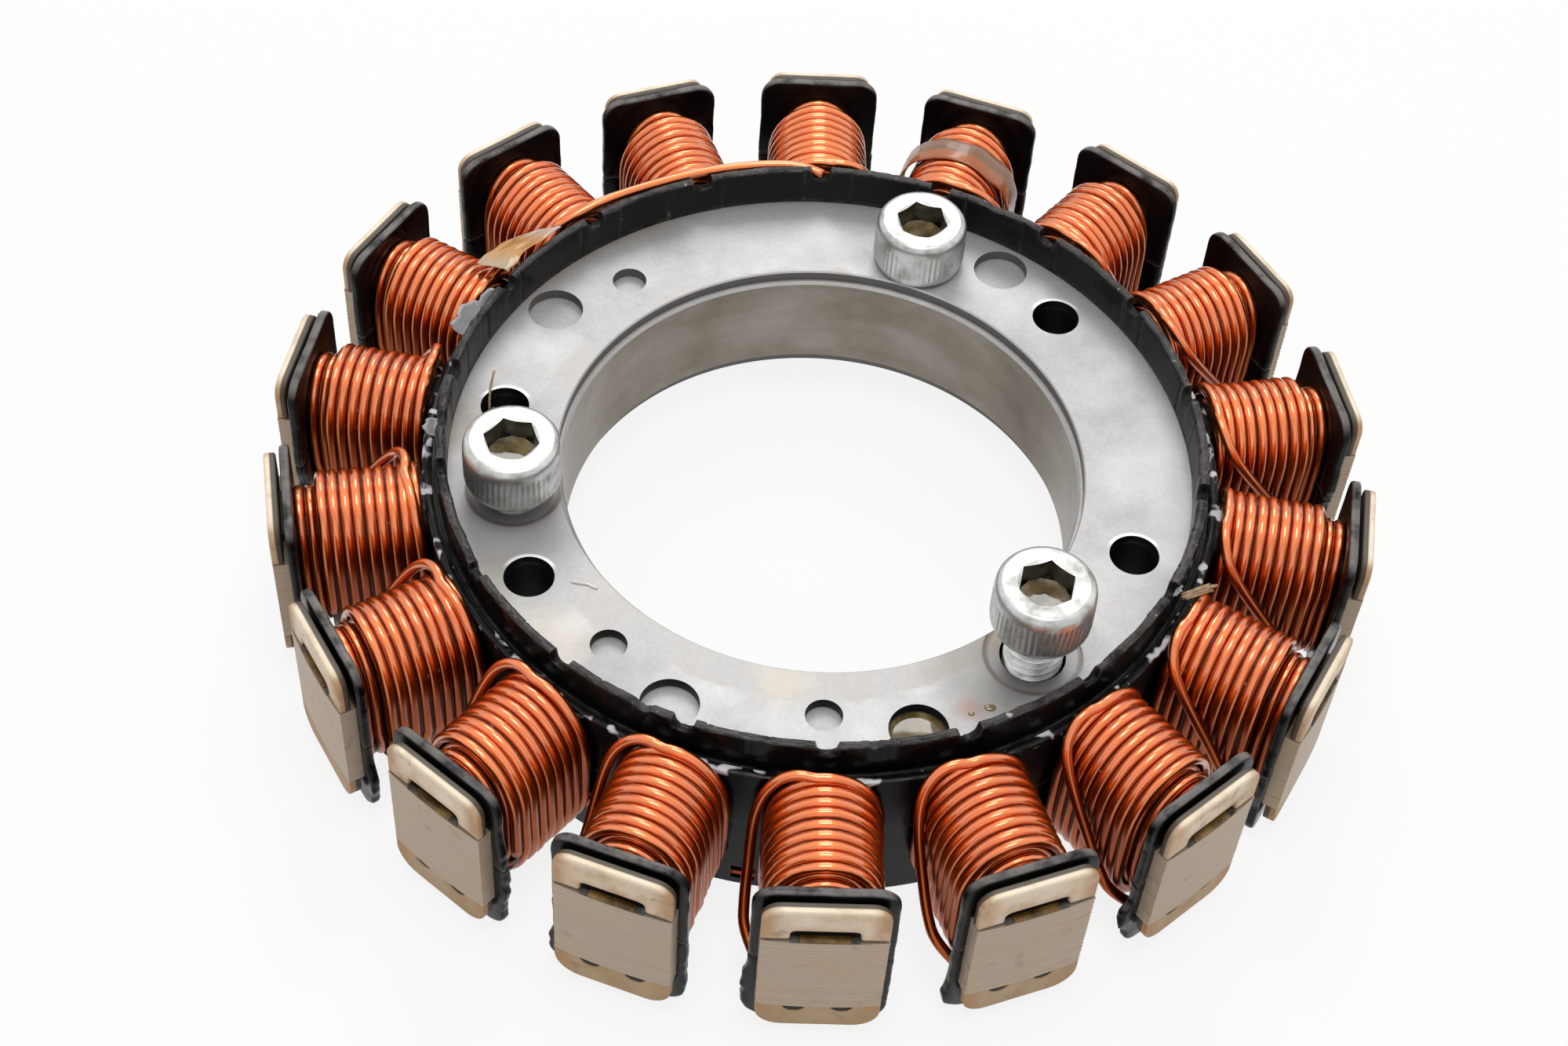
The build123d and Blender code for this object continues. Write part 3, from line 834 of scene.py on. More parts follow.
# On the band, the dark orange edge by the hub is painted shade and the grey far part a painted reflection of
# the lamp.
band_stops_with_painted_light = [(0.0, (0.36, 0.085, 0.01)), (0.36, (0.42, 0.12, 0.02)), (0.52, (0.3, 0.155, 0.085)),
              (1.0, (0.32, 0.2, 0.14))]
scrap_stops = [(0.05, (0.5, 0.37, 0.23)), (0.3, (0.6, 0.3, 0.08)), (0.6, (0.56, 0.24, 0.05)),
               (0.95, (0.55, 0.45, 0.35))]
band_tape = tape_material("tape on a coil", "Y", band_stops_with_painted_light, 0.68)
scrap_tape = tape_material("scrap of tape", "X", scrap_stops, 0.9)
print("materials:", [material.name for material in bpy.data.materials])

# %% [markdown]
# The core is a ring of thin sheets with a tooth and a shoe for each pole. One shoe is a block
# bent to the outer radius whose sheets stand a little in or out, as punched sheets do.

# %% Ring and teeth of the core
through_holes = screw_holes + plain_holes
chamfer = 0.3
core_section = [(bore_radius, core_low), (bore_radius, core_high - chamfer),
                (bore_radius + chamfer, core_high), (yoke_radius, core_high), (yoke_radius, core_low)]
core = turned("laminated core", core_section)
cut(core, pegs(through_holes, core_low - 1, plate_top + 1))
teeth = around(block("tooth", tooth_half, yoke_radius - 1, shoe_back + 0.5, core_low, core_high), "teeth")
print("ring and", pole_count, "teeth")

# %% Shoes of the core, bent and ruffled
sheet_rows = 2 * round((core_high - core_low) / sheet_pitch)
core_middle = (core_low + core_high) / 2
joint_depth = 0.014
joint_inset = 0.07
shoe = block("shoe", shoe_half, shoe_back, outer_radius, core_low, core_high)
pick(shoe, "EDGE", beside(shoe_half, core_middle))
bpy.ops.mesh.subdivide(number_cuts=sheet_rows - 1)
leave()
pick(shoe, "EDGE", lambda centre, edge: abs(centre.x) < HAIR)
bpy.ops.mesh.subdivide(number_cuts=7)
leave()
shuffle = random.Random(4)
sheet_steps = [(shuffle.uniform(-0.02, 0.02), shuffle.uniform(-0.012, 0.0)) for _ in range(sheet_rows + 1)]
for vertex in shoe.data.vertices:
    row = round((vertex.co.z / MM - core_low) / (core_high - core_low) * sheet_rows)
    is_joint = row % 2 == 0 and 0 < row < sheet_rows
    sideways, outward = sheet_steps[row // 2]
    if abs(vertex.co.y + outer_radius * MM) < 0.1 * MM:
        bow = outer_radius - sqrt(outer_radius**2 - (vertex.co.x / MM) ** 2)
        vertex.co.y += (bow + (joint_depth if is_joint else 0.0) - outward) * MM
    if abs(abs(vertex.co.x) - shoe_half * MM) < HAIR * MM:
        inward = joint_inset if is_joint else 0.0
        vertex.co.x += (sideways - inward * (1 if vertex.co.x > 0 else -1)) * MM
core = join([core, teeth, around(shoe, "shoes")], "laminated_core")
shade(core, 30)

# %% Hole walls in painted shade, and the finished core
dark_angles = (-40, -25, 0, 15)
dark_recesses = [hole for hole in large_recesses + small_recesses if hole[0] in dark_angles]


def darken_holes(piece):
    """Give the walls of the round holes the second material of a piece, their painted shade."""
    for face in piece.data.polygons:
        centre = face.center / MM
        if abs(face.normal.z) > 0.3:
            continue
        for angle, circle, radius in through_holes + dark_recesses:
            hole = spot(angle, circle, 0) / MM
            if hypot(centre.x - hole.x, centre.y - hole.y) < radius + 0.1:
                face.material_index = 1


for material in (core_finish, hole_shade, steel):
    core.data.materials.append(material)
darken_holes(core)
for face in core.data.polygons:
    if face.normal.z > 0.5 and hypot(face.center.x, face.center.y) < yoke_radius * MM:
        face.material_index = 2
dress(core, core_finish, "core_steel", "lamination_stack")

# %% [markdown]
# Each end plate is punched sheet: a ring, a narrow strip on each tooth and a tab bent up or down
# at its end. The tab is a block with rounded corners, with its slot or notches cut out and every
# edge softened, because real punched edges catch a line of light.

# %% Tabs of the end plates
def soften(piece, width, segments, angle):
    """Round every edge sharper than an angle, then shade what is left smooth."""
    bevel(piece, width, segments, angle)
    shade(piece, 40)


def tab(low, high, corner_height, corner, cutters):
    """One bent tab with two rounded corners and its notches, repeated at every pole."""
    piece = block("tab", shoe_half, tab_back, tab_face, low, high)
    round_corners(piece, shoe_half, corner_height, corner, 7)
    cut(piece, cutters)
    soften(piece, 0.25, 3, 50)
    layer = piece.data.uv_layers.active or piece.data.uv_layers.new(name="UVMap")
    for loop in piece.data.loops:
        place = piece.data.vertices[loop.vertex_index].co / MM
        layer.data[loop.index].uv = (place.x / front_width + 0.5, place.z / front_height)
    return around(piece, "tabs")


slot_half = 3.2
slot_top = plate_top + 0.35
slot = block("slot", slot_half, tab_face - 2, tab_face + 1, core_high - 1, slot_top)
round_corners(slot, slot_half, slot_top, 0.6, 3)
upper_tab_top = plate_top + 3.6
upper_tabs = tab(core_high, upper_tab_top, upper_tab_top, 1.8, [slot])
half_moons = []
for side in (-1, 1):
    place = (side * 2.25 * MM, -tab_face * MM, (core_low - 0.1) * MM)
    bpy.ops.mesh.primitive_cylinder_add(vertices=32, radius=1.15 * MM, depth=6 * MM, rotation=(pi / 2, 0, 0),
                                        location=place)
    half_moons.append(made("half moon"))
lower_tab_foot = plate_low - 2.6
lower_tabs = tab(lower_tab_foot, core_low, lower_tab_foot, 2.6, half_moons)


# %% Rings and strips of the end plates
def plate_ring(low, high, holes):
    """The ring of an end plate with its holes."""
    inner = bore_radius + 0.55
    soft = 0.15
    section = [(inner, low), (inner, high - soft), (inner + soft, high)]
    ring = turned("end plate", section + [(yoke_radius, high), (yoke_radius, low)])
    cut(ring, pegs(holes, low - 1, high + 1))
    soften(ring, 0.16, 2, 50)
    return ring


def end_plate(ring, tabs, name, low, high, node):
    """A ring with its strips and tabs, shaded, with painted shade on the walls of its holes."""
    strips = around(block("strip", tooth_half, yoke_radius - 1, tab_back + 0.02, low, high), "strips")
    plate = join([ring, strips, tabs], name)
    shade(plate, 40)
    apply(plate, "WEIGHTED_NORMAL", keep_sharp=True)
    for material in (steel, hole_shade):
        plate.data.materials.append(material)
    darken_holes(plate)
    dress(plate, steel, "plate_steel", node)


seat_mark_radius = 4.9
seat_mark_depth = 0.12
upper_ring = plate_ring(core_high, plate_top, through_holes + large_recesses + small_recesses)
seats = [(angle, screw_circle, seat_mark_radius) for angle in screw_angles[1:]]
cut(upper_ring, pegs(seats, plate_top - seat_mark_depth, plate_top + 1, sides=96))
end_plate(upper_ring, upper_tabs, "upper_plate_sheet", core_high, plate_top, "upper_end_plate")
lower_ring = plate_ring(plate_low, core_low, through_holes)
end_plate(lower_ring, lower_tabs, "lower_plate_sheet", plate_low, core_low, "lower_end_plate")

# %% [markdown]
# The varnish that the stator was dipped in stays in the slots and in one of the recesses, and
# left a few beads beside it. Each pool is a thin body with a soft edge, sunk a little below its rim.

# %% Varnish in the slots, in one recess and in beads
slot_fill = block("fill", 2.35, tab_face - 0.6, outer_radius - 0.07, core_high - 0.1, core_high + 0.42)
slot_fill.data.materials.append(slot_brown)
soften(slot_fill, 0.2, 3, 30)
dress(around(slot_fill, "slot_varnish"), slot_brown, "amber_tape")


def drop(size, place):
    """A flattened round blob, for varnish that ran and dried."""
    bpy.ops.mesh.primitive_uv_sphere_add(segments=24, ring_count=12, radius=1, location=place,
                                         scale=[value * MM for value in size])
    return smooth_all(made("drop"))


pools = [drop((2.9, 2.9, 0.32), spot(15, large_circle, core_high + 0.1))]
beads = [(27.3, 35.0, 0.6), (31.5, 36.6, 0.75), (24.0, 34.9, 0.35), (33, 37.6, 0.4), (17, 38.1, 0.5),
         (4, 38.2, 0.45)]
for angle, circle, size in beads:
    pools.append(drop((size, size * 0.7, 0.16), spot(angle, circle, plate_top)))
dress(join(pools, "varnish_pools"), varnish, "amber_tape")


# %% [markdown]
# The insulator is two black mouldings that meet at half height. The rim is a smooth wall in short
# segments, with a notch at each pole and a few torn places. It is turned with many sides, and then
# its corners are moved by their angle and height, since no cutter leaves a torn edge.

# %% Rim of the insulator
def raggedness(place, size, seed):
    """A signed, repeatable unevenness for a place in metres, over patches of a size in millimetres."""
    return noise.noise(place / (size * MM) + Vector((seed * 7.3, seed * 3.1, seed)))


# A torn place is its angle, its half width in degrees and its depth.
torn_places = [(-111.9, 1.6, 0.5), (-89.5, 1.5, 0.9), (-75.5, 1.2, 0.5), (-62, 1.3, 0.45), (-26, 1.4, 0.7),
               (6.5, 0.8, 0.3), (19.4, 1.4, 0.4), (43.2, 1.3, 0.6), (57, 2.0, 0.3), (84, 1.0, 0.3),
               (103, 1.2, 0.4), (150, 1.5, 0.3)]
notch_half = 0.95
notch_depth = 1.35
slit_half = 0.17
slit_depth = 0.14
shuffle = random.Random(21)
slits = [index * 10 + 5 + shuffle.uniform(-3.4, 3.4) for index in range(-18, 18)]
wall_steps = [shuffle.uniform(-0.05, 0.05) for _ in slits]


def wall_push(angle):
    """How far the inner wall stands out at an angle: a slit, or the step of its segment."""
    nearest = min(range(len(slits)), key=lambda index: abs(slits[index] - angle))
    if abs(slits[nearest] - angle) < slit_half:
        return slit_depth
    return wall_steps[nearest if slits[nearest] < angle else nearest - 1]


def notched_rim():
    """The tall wall inside the coils, with a notch at each pole and slits between its segments."""
    section = [(rim_inner, plate_top + 0.1), (rim_inner, rim_top - 0.42), (rim_inner + 0.1, rim_top - 0.16),
               (rim_inner + 0.3, rim_top - 0.02), (rim_outer - 0.3, rim_top),
               (rim_outer - 0.08, rim_top - 0.14), (rim_outer, rim_top - 0.4), (rim_outer, plate_top + 0.1)]
    piece = turned("rim", section, sides=1080)
    for vertex in piece.data.vertices:
        angle = (degrees(atan2(vertex.co.y, vertex.co.x)) + 270) % 360 - 180
        outward = vertex.co.xy.normalized() * MM
        push = wall_push(angle) if vertex.co.xy.length < (rim_inner + 0.15) * MM else 0.0
        if vertex.co.z / MM > rim_top - 0.6:
            from_pole = (angle + pole_step / 2) % pole_step - pole_step / 2
            across = abs(radians(from_pole) * rim_inner)
            ragged = raggedness(vertex.co, 1.0, 1) * 0.05 + raggedness(vertex.co, 0.35, 2) * 0.05
            low_spot = sum(depth * max(0.0, 1 - (abs(angle - where) / width) ** 3)
                           for where, width, depth in torn_places)
            low_spot *= 0.7 + 0.6 * raggedness(vertex.co, 0.5, 3)
            vertex.co.z += (ragged - max(0.0, low_spot) - 0.08) * MM
            push += raggedness(vertex.co, 2.2, 4) * 0.1 + raggedness(vertex.co, 0.4, 5) * 0.04
            if across < notch_half:
                depth = notch_depth - 0.45 * (across / notch_half) ** 4
                vertex.co.z -= (depth + raggedness(vertex.co, 0.5, 6) * 0.15) * MM
        vertex.co.x += outward.x * push
        vertex.co.y += outward.y * push
    return piece


# %% [markdown]
# The cheeks hold the coils in, behind the shoes. The mould left thin flash on their free edges, in
# lumps of different size, so their long edges are cut fine and pushed sideways by noise. A lump
# belongs to a pole and a side, and is its height from the plate, its spread and its size.

# %% Cheeks of the insulator
flash_lumps = {(0, -1): (-13.0, 4.5, 0.75), (2, 1): (-9.0, 6.0, 0.7), (3, 1): (-13.5, 3.5, 1.1),
               (4, 1): (-12.0, 5.0, 0.8), (15, -1): (-8.0, 5.0, 0.7), (16, -1): (-12.5, 2.6, 1.5),
               (1, -1): (-15.0, 3.0, 0.6), (14, -1): (-9.0, 4.0, 0.6), (17, -1): (-15.5, 2.5, 0.5),
               (5, 1): (-6.0, 4.0, 0.5), (13, -1): (-5.0, 3.0, 0.4)}
halves_gap = 0.04
long_edge = 1.5
flash_from = 4.4


def flash_at(place, index, upper, side):
    """How far the flash stands out at a place on one side of a cheek, in millimetres."""
    seed = index * 2.7 + (11 if upper else 0) + side
    growth = 0.1 if upper else 0.2
    grown = raggedness(place, 2.4, seed) * growth + raggedness(place, 0.7, seed + 5) * growth * 0.35
    if (index, side) in flash_lumps:
        where, spread, size = flash_lumps[index, side]
        away = abs(place.z / MM - plate_top - where) / spread
        grown += size * max(0.0, 1 - away**2) * (0.75 + 0.5 * raggedness(place, 1.1, seed + 3))
    return grown


def cheek(index, upper):
    """Half of one winding cheek, with flash along its free edges."""
    low, high = (middle + halves_gap / 2, cheek_top) if upper else (0.0, middle - halves_gap / 2)
    piece = block("cheek", cheek_half, cheek_inner, shoe_back, low, high)
    round_corners(piece, cheek_half, high if upper else low, 2.3, 7)

    def is_long(centre, edge):
        """A test for the edges across and up the cheek, apart from those of its rounded corners."""
        first, second = [piece.data.vertices[end].co for end in edge.vertices]
        return (first - second).length > long_edge * MM and abs(first.y - second.y) < HAIR * MM

    pick(piece, "EDGE", is_long)
    bpy.ops.mesh.subdivide(number_cuts=24)
    leave()
    for vertex in piece.data.vertices:
        side = 1 if vertex.co.x > 0 else -1
        seed = index * 2.7 + (11 if upper else 0) + side
        height = vertex.co.z / MM
        if abs(vertex.co.x) > flash_from * MM:
            vertex.co.x += side * flash_at(vertex.co, index, upper, side) * MM
        if abs(height - middle) > 6:
            vertex.co.z += (raggedness(vertex.co, 2.8, seed + 9) * 0.1 - 0.06) * MM * (1 if upper else -0.2)
            vertex.co.z = max(vertex.co.z, 0.0)
    bevel(piece, 0.3, 3, 50)
    return to_pole(piece, index)


def cheeks(upper):
    """Every pole's half cheek, each with its own flash."""
    return join([cheek(index, upper) for index in range(pole_count)], "cheeks")


# %% [markdown]
# Between rim and cheeks the moulding lines every tooth with a channel, and a hub stands round the
# core. It also shows through the slots and the notches of the tabs. A channel is a box without its
# ends and its open side, given a wall by Solidify.

# %% Tooth liners, and what fills the slots and notches
liner_half = tooth_half + 0.8
liner_wall = 0.7


def liner(upper):
    """Half of the moulding round every tooth: a channel with two rounded edges."""
    low, high = (middle, plate_top + 1.0) if upper else (plate_low - 1.0, middle)
    piece = block("liner", liner_half, hub_radius - 0.1, cheek_inner + 0.1, low, high)
    round_corners(piece, liner_half, high if upper else low, 2.6, 4)
    pick(piece, "FACE", lambda centre, face: abs(face.normal.y) > 0.9 or abs(centre.z - middle) < HAIR)
    bpy.ops.mesh.delete(type="FACE")
    leave()
    apply(piece, "SOLIDIFY", thickness=liner_wall * MM, offset=-1)
    return around(piece, "liners")


slot_back = block("slot back", slot_half + 0.1, tab_face - 1.15, tab_face - 0.4, core_high, slot_top + 0.1)
ledge_face = outer_radius - 0.11
slot_ledge = block("slot ledge", slot_half, tab_face - 0.5, ledge_face, core_high - 0.02, core_high + 0.1)
slot_back = around(join([slot_back, slot_ledge], "slot back"), "slot backs")
notch_back = block("notch back", 3.6, tab_face - 1.15, tab_face - 0.12, core_low - 1.2, core_low)
notch_back = around(notch_back, "notch backs")
print("slot and notch backs")


# %% Upper and lower halves of the insulator
def finish_half(pieces, name, node):
    """Join the pieces of one half, shade it and hand it over."""
    half = join(pieces, name)
    shade(half, 38)
    dress(half, black, "black_moulding", node)


hub_section = [(yoke_radius, middle), (hub_radius, middle), (hub_radius, lip_top - 0.3),
               (hub_radius - 0.1, lip_top - 0.08), (hub_radius - 0.3, lip_top), (yoke_radius + 0.3, lip_top),
               (yoke_radius + 0.08, lip_top - 0.1), (yoke_radius, lip_top - 0.3),
               (yoke_radius, plate_top + 0.3), (rim_inner, plate_top + 0.3), (rim_inner, plate_top),
               (yoke_radius, plate_top)]
upper_hub = turned("upper hub", hub_section, sides=720)
for vertex in upper_hub.data.vertices:
    if vertex.co.z > (lip_top - 0.4) * MM:
        vertex.co.z += (raggedness(vertex.co, 2.5, 8) * 0.12 + raggedness(vertex.co, 0.6, 9) * 0.05) * MM
upper_pieces = [upper_hub, notched_rim(), liner(True), slot_back, cheeks(True)]
finish_half(upper_pieces, "upper_moulding", "upper_insulator")

base_low = plate_low - 0.3
skirt = hub_radius - 0.25
foot_section = [(rim_inner, plate_low), (rim_inner, 0.15), (rim_inner + 0.15, 0.0), (rim_outer - 0.15, 0.0),
                (rim_outer, 0.15), (rim_outer, base_low), (skirt, base_low), (skirt, 0.08),
                (skirt + 0.08, 0.0), (hub_radius - 0.08, 0.0), (hub_radius, 0.08), (hub_radius, middle),
                (yoke_radius, middle), (yoke_radius, plate_low)]
lower_hub = turned("lower hub", foot_section)
window = block("window", 1.2, hub_radius - 0.6, hub_radius + 1, 0.95, base_low - 0.7)
cut(lower_hub, [to_pole(window, 0.5)])
lower_pieces = [lower_hub, liner(False), notch_back, cheeks(False)]
finish_half(lower_pieces, "lower_moulding", "lower_insulator")


# %% [markdown]
# Where the rim tore, thin tongues of plastic lean out over the coils. Each starts as a flat grid,
# whose corners are placed along the rim with a noisy outline and curl, and gets a thin wall.

# %% Torn flaps on the rim
def flap(angle, length, height, lean, seed):
    """A thin torn tongue that leans outward from the rim's edge."""
    bpy.ops.mesh.primitive_grid_add(x_subdivisions=36, y_subdivisions=6, size=1)
    piece = made("flap")
    for vertex in piece.data.vertices:
        along = vertex.co.x + 0.5
        up = vertex.co.y + 0.5
        outline = 0.3 + 0.7 * sin(pi * along) ** 0.35
        outline *= 0.9 + 0.35 * noise.noise(Vector((along * 4, seed, 1)))
        outline *= 1 + 0.12 * noise.noise(Vector((along * 19, seed, 5)))
        curl = lean * up * outline + 0.12 * noise.noise(Vector((along * 5, up * 2, seed)))
        turn = angle + degrees(length / rim_outer) * (along - 0.5)
        vertex.co = spot(turn, rim_outer - 0.15 + curl, rim_top - 0.75 + height * up * outline)
    apply(piece, "SOLIDIFY", thickness=0.12 * MM, offset=0)
    return smooth_all(piece)


flap_places = [(-111.0, 5.0, 0.7, 2.2, 1), (-116, 3.0, 0.5, 1.0, 2), (-88.4, 2.4, 0.4, 1.5, 3),
               (88, 2.0, 0.6, 0.5, 4), (61, 1.6, 0.5, 0.6, 5)]
dress(join([flap(*place) for place in flap_places], "torn_flaps"), torn, "black_moulding")

# %% [markdown]
# A coil is one wire: an inner layer wound outward, then an outer layer back to the hub. The wire
# follows one long list of points worked out by a loop, and is given thickness as a curve, which
# keeps it round through every bend. The curve becomes a mesh whose doubled corners are merged.

# %% Wire along a list of points
wire_radius = 0.55
turn_pitch = 1.17
arch_steps = 16
flank_steps = 7


def wire(name, points, radius, sides=3, smooth=False):
    """A round wire along a list of points in millimetres."""
    data = bpy.data.curves.new(name, "CURVE")
    data.dimensions = "3D"
    spline = data.splines.new("NURBS" if smooth else "POLY")
    spline.points.add(len(points) - 1)
    for point, place in zip(spline.points, points):
        point.co = (*(Vector(place) * MM), 1)
    if smooth:
        spline.order_u = 3
        spline.use_endpoint_u = True
        data.resolution_u = 6
    data.bevel_depth = radius * MM
    data.bevel_resolution = sides
    data.use_fill_caps = True
    take(add(name, data))
    bpy.ops.object.convert(target="MESH")
    piece = bpy.context.active_object
    face_out(piece, merge=True)
    return smooth_all(piece)


# %% Layers of a coil
first_turn = 41.95
outer_turns = 9
inner_turns = 11
last_turn = first_turn + turn_pitch * (outer_turns - 1)
outer_half = 5.24
outer_crown = plate_top + 3.2 - wire_radius
arch = 6.4
step_from = 0.75


def loop_points(half, crown):
    """Points once round the winding in x and z, from the right flank's foot over the top."""
    spring = crown - arch
    foot = 2 * middle - spring
    flank = [(half, foot + (spring - foot) * number / flank_steps) for number in range(flank_steps)]
    turns = [pi * number / arch_steps for number in range(arch_steps)]
    over = [(half * cos(turn), spring + arch * sin(turn)) for turn in turns]
    other = [(-x, 2 * middle - z) for x, z in flank + over]
    return flank + over + other


def layer(dice, half, crown, first, turns, direction):
    """Turns of one layer, each a little uneven, that step to the next along the underside."""
    points = []
    base = loop_points(half, crown)
    for turn in range(turns):
        place = first + turn_pitch * turn * direction
        shift, lift, lean, swell = [dice.gauss(0, size) for size in (0.03, 0.04, 0.09, 0.05)]
        for index, (x, z) in enumerate(base):
            passed = max(0.0, (index / len(base) - step_from) / (1 - step_from)) * turn_pitch * direction
            below = max(0.0, (middle - z) / 10)
            top = max(0.0, (z - middle) / 10)
            bulge = swell * (1 - top) * (1 if x > 0 else -1)
            points.append((x + bulge, -(place + passed + shift + lean * below), z + lift * top))
    return points


# %% [markdown]
# The last turn rides high, crosses the crown and leaves as a loose strand down one flank. Its route
# is blended between one for the side coils and one for the front coils, where the strand hangs
# lower, and each coil has its own rise, drift outward and share of the front route.

# %% Loose strand of a coil
side_route = [(-2.4, 41.6, 3.1), (-3.8, 41.65, 2.75), (-5.0, 42.0, 1.8), (-5.8, 42.7, 0.4),
              (-6.2, 44.0, -1.5), (-6.4, 46.0, -4.2), (-6.5, 48.3, -7.2), (-6.55, 50.3, -10.2),
              (-6.2, 52.0, -12.6), (-4.6, 53.3, -14.2)]
front_route = [(-2.4, 41.6, 3.1), (-3.9, 41.6, 2.7), (-5.0, 41.7, 1.6), (-5.9, 41.9, 0.0),
               (-6.5, 42.3, -2.4), (-6.75, 43.1, -5.0), (-6.9, 44.6, -7.6), (-7.15, 46.8, -9.8),
               (-7.2, 50.0, -11.6), (-5.2, 53.3, -12.6)]
leads = {0: (0.35, 0.0, 1.0), 1: (0.5, 0.1, 0.6), 2: (0.5, 0.4, 0.3), 3: (0.65, 1.9, 0.0),
         4: (0.62, 2.3, 0.0), 5: (0.12, 0.6, 0.2), 6: (0.12, 0.6, 0.2), 12: (0.5, 0.2, 0.0),
         13: (0.45, 0.4, 0.0), 14: (0.4, 0.3, 0.0), 15: (0.4, 0.2, 0.0), 16: (0.4, 0.0, 0.1),
         17: (0.35, 0.0, 0.5)}
usual_lead = (0.4, 0.3, 0.3)


def lead_turn(index, dice):
    """The last turn: up the right flank, over the top and down the left flank as a loose strand."""
    spring = outer_crown - arch
    foot = 2 * middle - spring
    rise, drift, frontal = leads.get(index, usual_lead)
    start = first_turn - 0.1
    points = []
    for number in range(6):
        share = number / 5
        side = outer_half + (0.35 * rise + 0.05) * share
        points.append((side, -start, foot + (spring - foot) * share))
    for number in range(1, 10):
        turn = pi * number / arch_steps
        across = (outer_half + 0.35 * rise) * cos(turn)
        points.append((across, -(start + drift * (number / 16) ** 1.5), spring + (arch + rise) * sin(turn)))
    wave = dice.uniform(-0.15, 0.15)
    for number, (first, second) in enumerate(zip(side_route, front_route)):
        x, radius, height = [(1 - frontal) * one + frontal * other for one, other in zip(first, second)]
        loose = sin(pi * min(1.0, number / 9))
        lifted = max(0.0, rise - 0.4) * max(0.0, 1 - number / 3)
        outward = drift * (0.42 + 0.25 * loose) if number < 9 else 0.0
        points.append((x + wave * loose, -(radius + outward), plate_top + height + lifted))
    return points


# %% [markdown]
# Dipping varnish filled the valleys between the outer turns, so one thin sleeve stands a little
# above the wires' middle line, and only the tops of the wires come through it. The same kind of
# sleeve, a ring of points repeated outward, makes the tape band further down.

# %% Sleeves, and the finished coils
def tube(name, ring, start, end, rows):
    """An open sleeve of small faces: a ring of (x, z) points repeated from start to end."""
    count = len(ring)
    places = [(x, -(start + (end - start) * row / (rows - 1)), z) for row in range(rows) for x, z in ring]
    sides = [(at, (at + 1) % count) for at in range(count)]
    faces = [(row + first, row + second, row + count + second, row + count + first)
             for row in range(0, count * (rows - 1), count) for first, second in sides]
    mesh = bpy.data.meshes.new(name)
    mesh.from_pydata([Vector(place) * MM for place in places], [], faces)
    return add(name, mesh)


def push_out(vertex, distance):
    """Move a corner away from the middle line of its coil, by a distance in millimetres."""
    away = Vector((vertex.co.x, 0, vertex.co.z - middle * MM)).normalized()
    vertex.co += away * distance * MM


def sleeve(index):
    """The varnish film between the outer turns of one coil."""
    ring = loop_points(outer_half + 0.1, outer_crown + 0.1)
    piece = tube("sleeve", ring, first_turn - 0.3, last_turn + 0.2, 20)
    for vertex in piece.data.vertices:
        push_out(vertex, raggedness(vertex.co, 2.5, 31 + index) * 0.08)
    face_out(piece)
    apply(piece, "SOLIDIFY", thickness=0.1 * MM, offset=-1)
    return smooth_all(to_pole(piece, index))


def coil(index):
    """The wire of one pole."""
    dice = random.Random(100 + index)
    inner = layer(dice, outer_half - 1.05, outer_crown - 1.1, first_turn, inner_turns, 1)
    outer = layer(dice, outer_half, outer_crown, last_turn, outer_turns, -1)
    pieces = [wire("inner layer", inner, wire_radius, sides=2), wire("outer layer", outer, wire_radius),
              wire("lead", lead_turn(index, dice), wire_radius, smooth=True)]
    return to_pole(join(pieces, f"wound_wire_{index + 1:02d}"), index)


for index in range(pole_count):
    dress(coil(index), copper, "copper_wire", f"coil_{index + 1:02d}")
dress(join([sleeve(index) for index in range(pole_count)], "winding_varnish"), film, "amber_tape")


# %% [markdown]
# Three phase wires run under the lower rim and join every third coil, with a short tail to each,
# and one bare wire lies along the outside of the upper rim. They are the same wire as the coils'.

# %% Wires round the rims
phase_circle = rim_outer + 0.65
phase_pitch = 1.2
phase_low = 0.65
phase_span = 300


def arc_points(radius, height, start, end, spacing=4):
    """Points along an arc, with a little waviness."""
    count = max(2, round(abs(end - start) / spacing))
    angles = [start + (end - start) * index / count for index in range(count + 1)]
    waves = [noise.noise(Vector((angle / 17, height, 0))) * 0.06 for angle in angles]
    return [spot(angle, radius + wave, height) / MM for angle, wave in zip(angles, waves)]


for phase, letter in enumerate("abc"):
    start = -pole_step * phase
    height = phase_pitch * phase + phase_low
    route = arc_points(phase_circle, height, start, start - phase_span)
    runs = [wire("run", route, wire_radius, smooth=True)]
    for link in range(6):
        angle = start - 3 * pole_step * link
        tail = [spot(angle, radius, height) / MM for radius in (phase_circle, 40.8, 41.1)]
        runs.append(wire("tail", tail, wire_radius))
    dress(join(runs, f"phase_lead_{letter}"), copper, "copper_wire", f"phase_wire_{letter}")

jumper_route = [(-135.5, 42.0, 2.6), (-139, 41.3, 3.9), (-145, 40.75, 4.35), (-152, 40.5, 4.3),
                (-160, 40.4, 4.4), (-168, 40.35, 4.3), (-174, 40.3, 4.2), (-178, 40.0, 3.9),
                (-180.3, 39.3, 3.6)]
jumper = wire("jumper_wire", over_plate(jumper_route), wire_radius, smooth=True)
dress(jumper, copper, "copper_wire", "upper_jumper")

# %% [markdown]
# A loose turn of old adhesive tape holds one coil, and a torn scrap of it lies over the rim. Both
# start as strips of small faces, wrinkled by noise and given a thin wall.

# %% Tape band
tape_rows = 9
tape_near = 45.2
tape_far = 48.9
tape_pole = 10


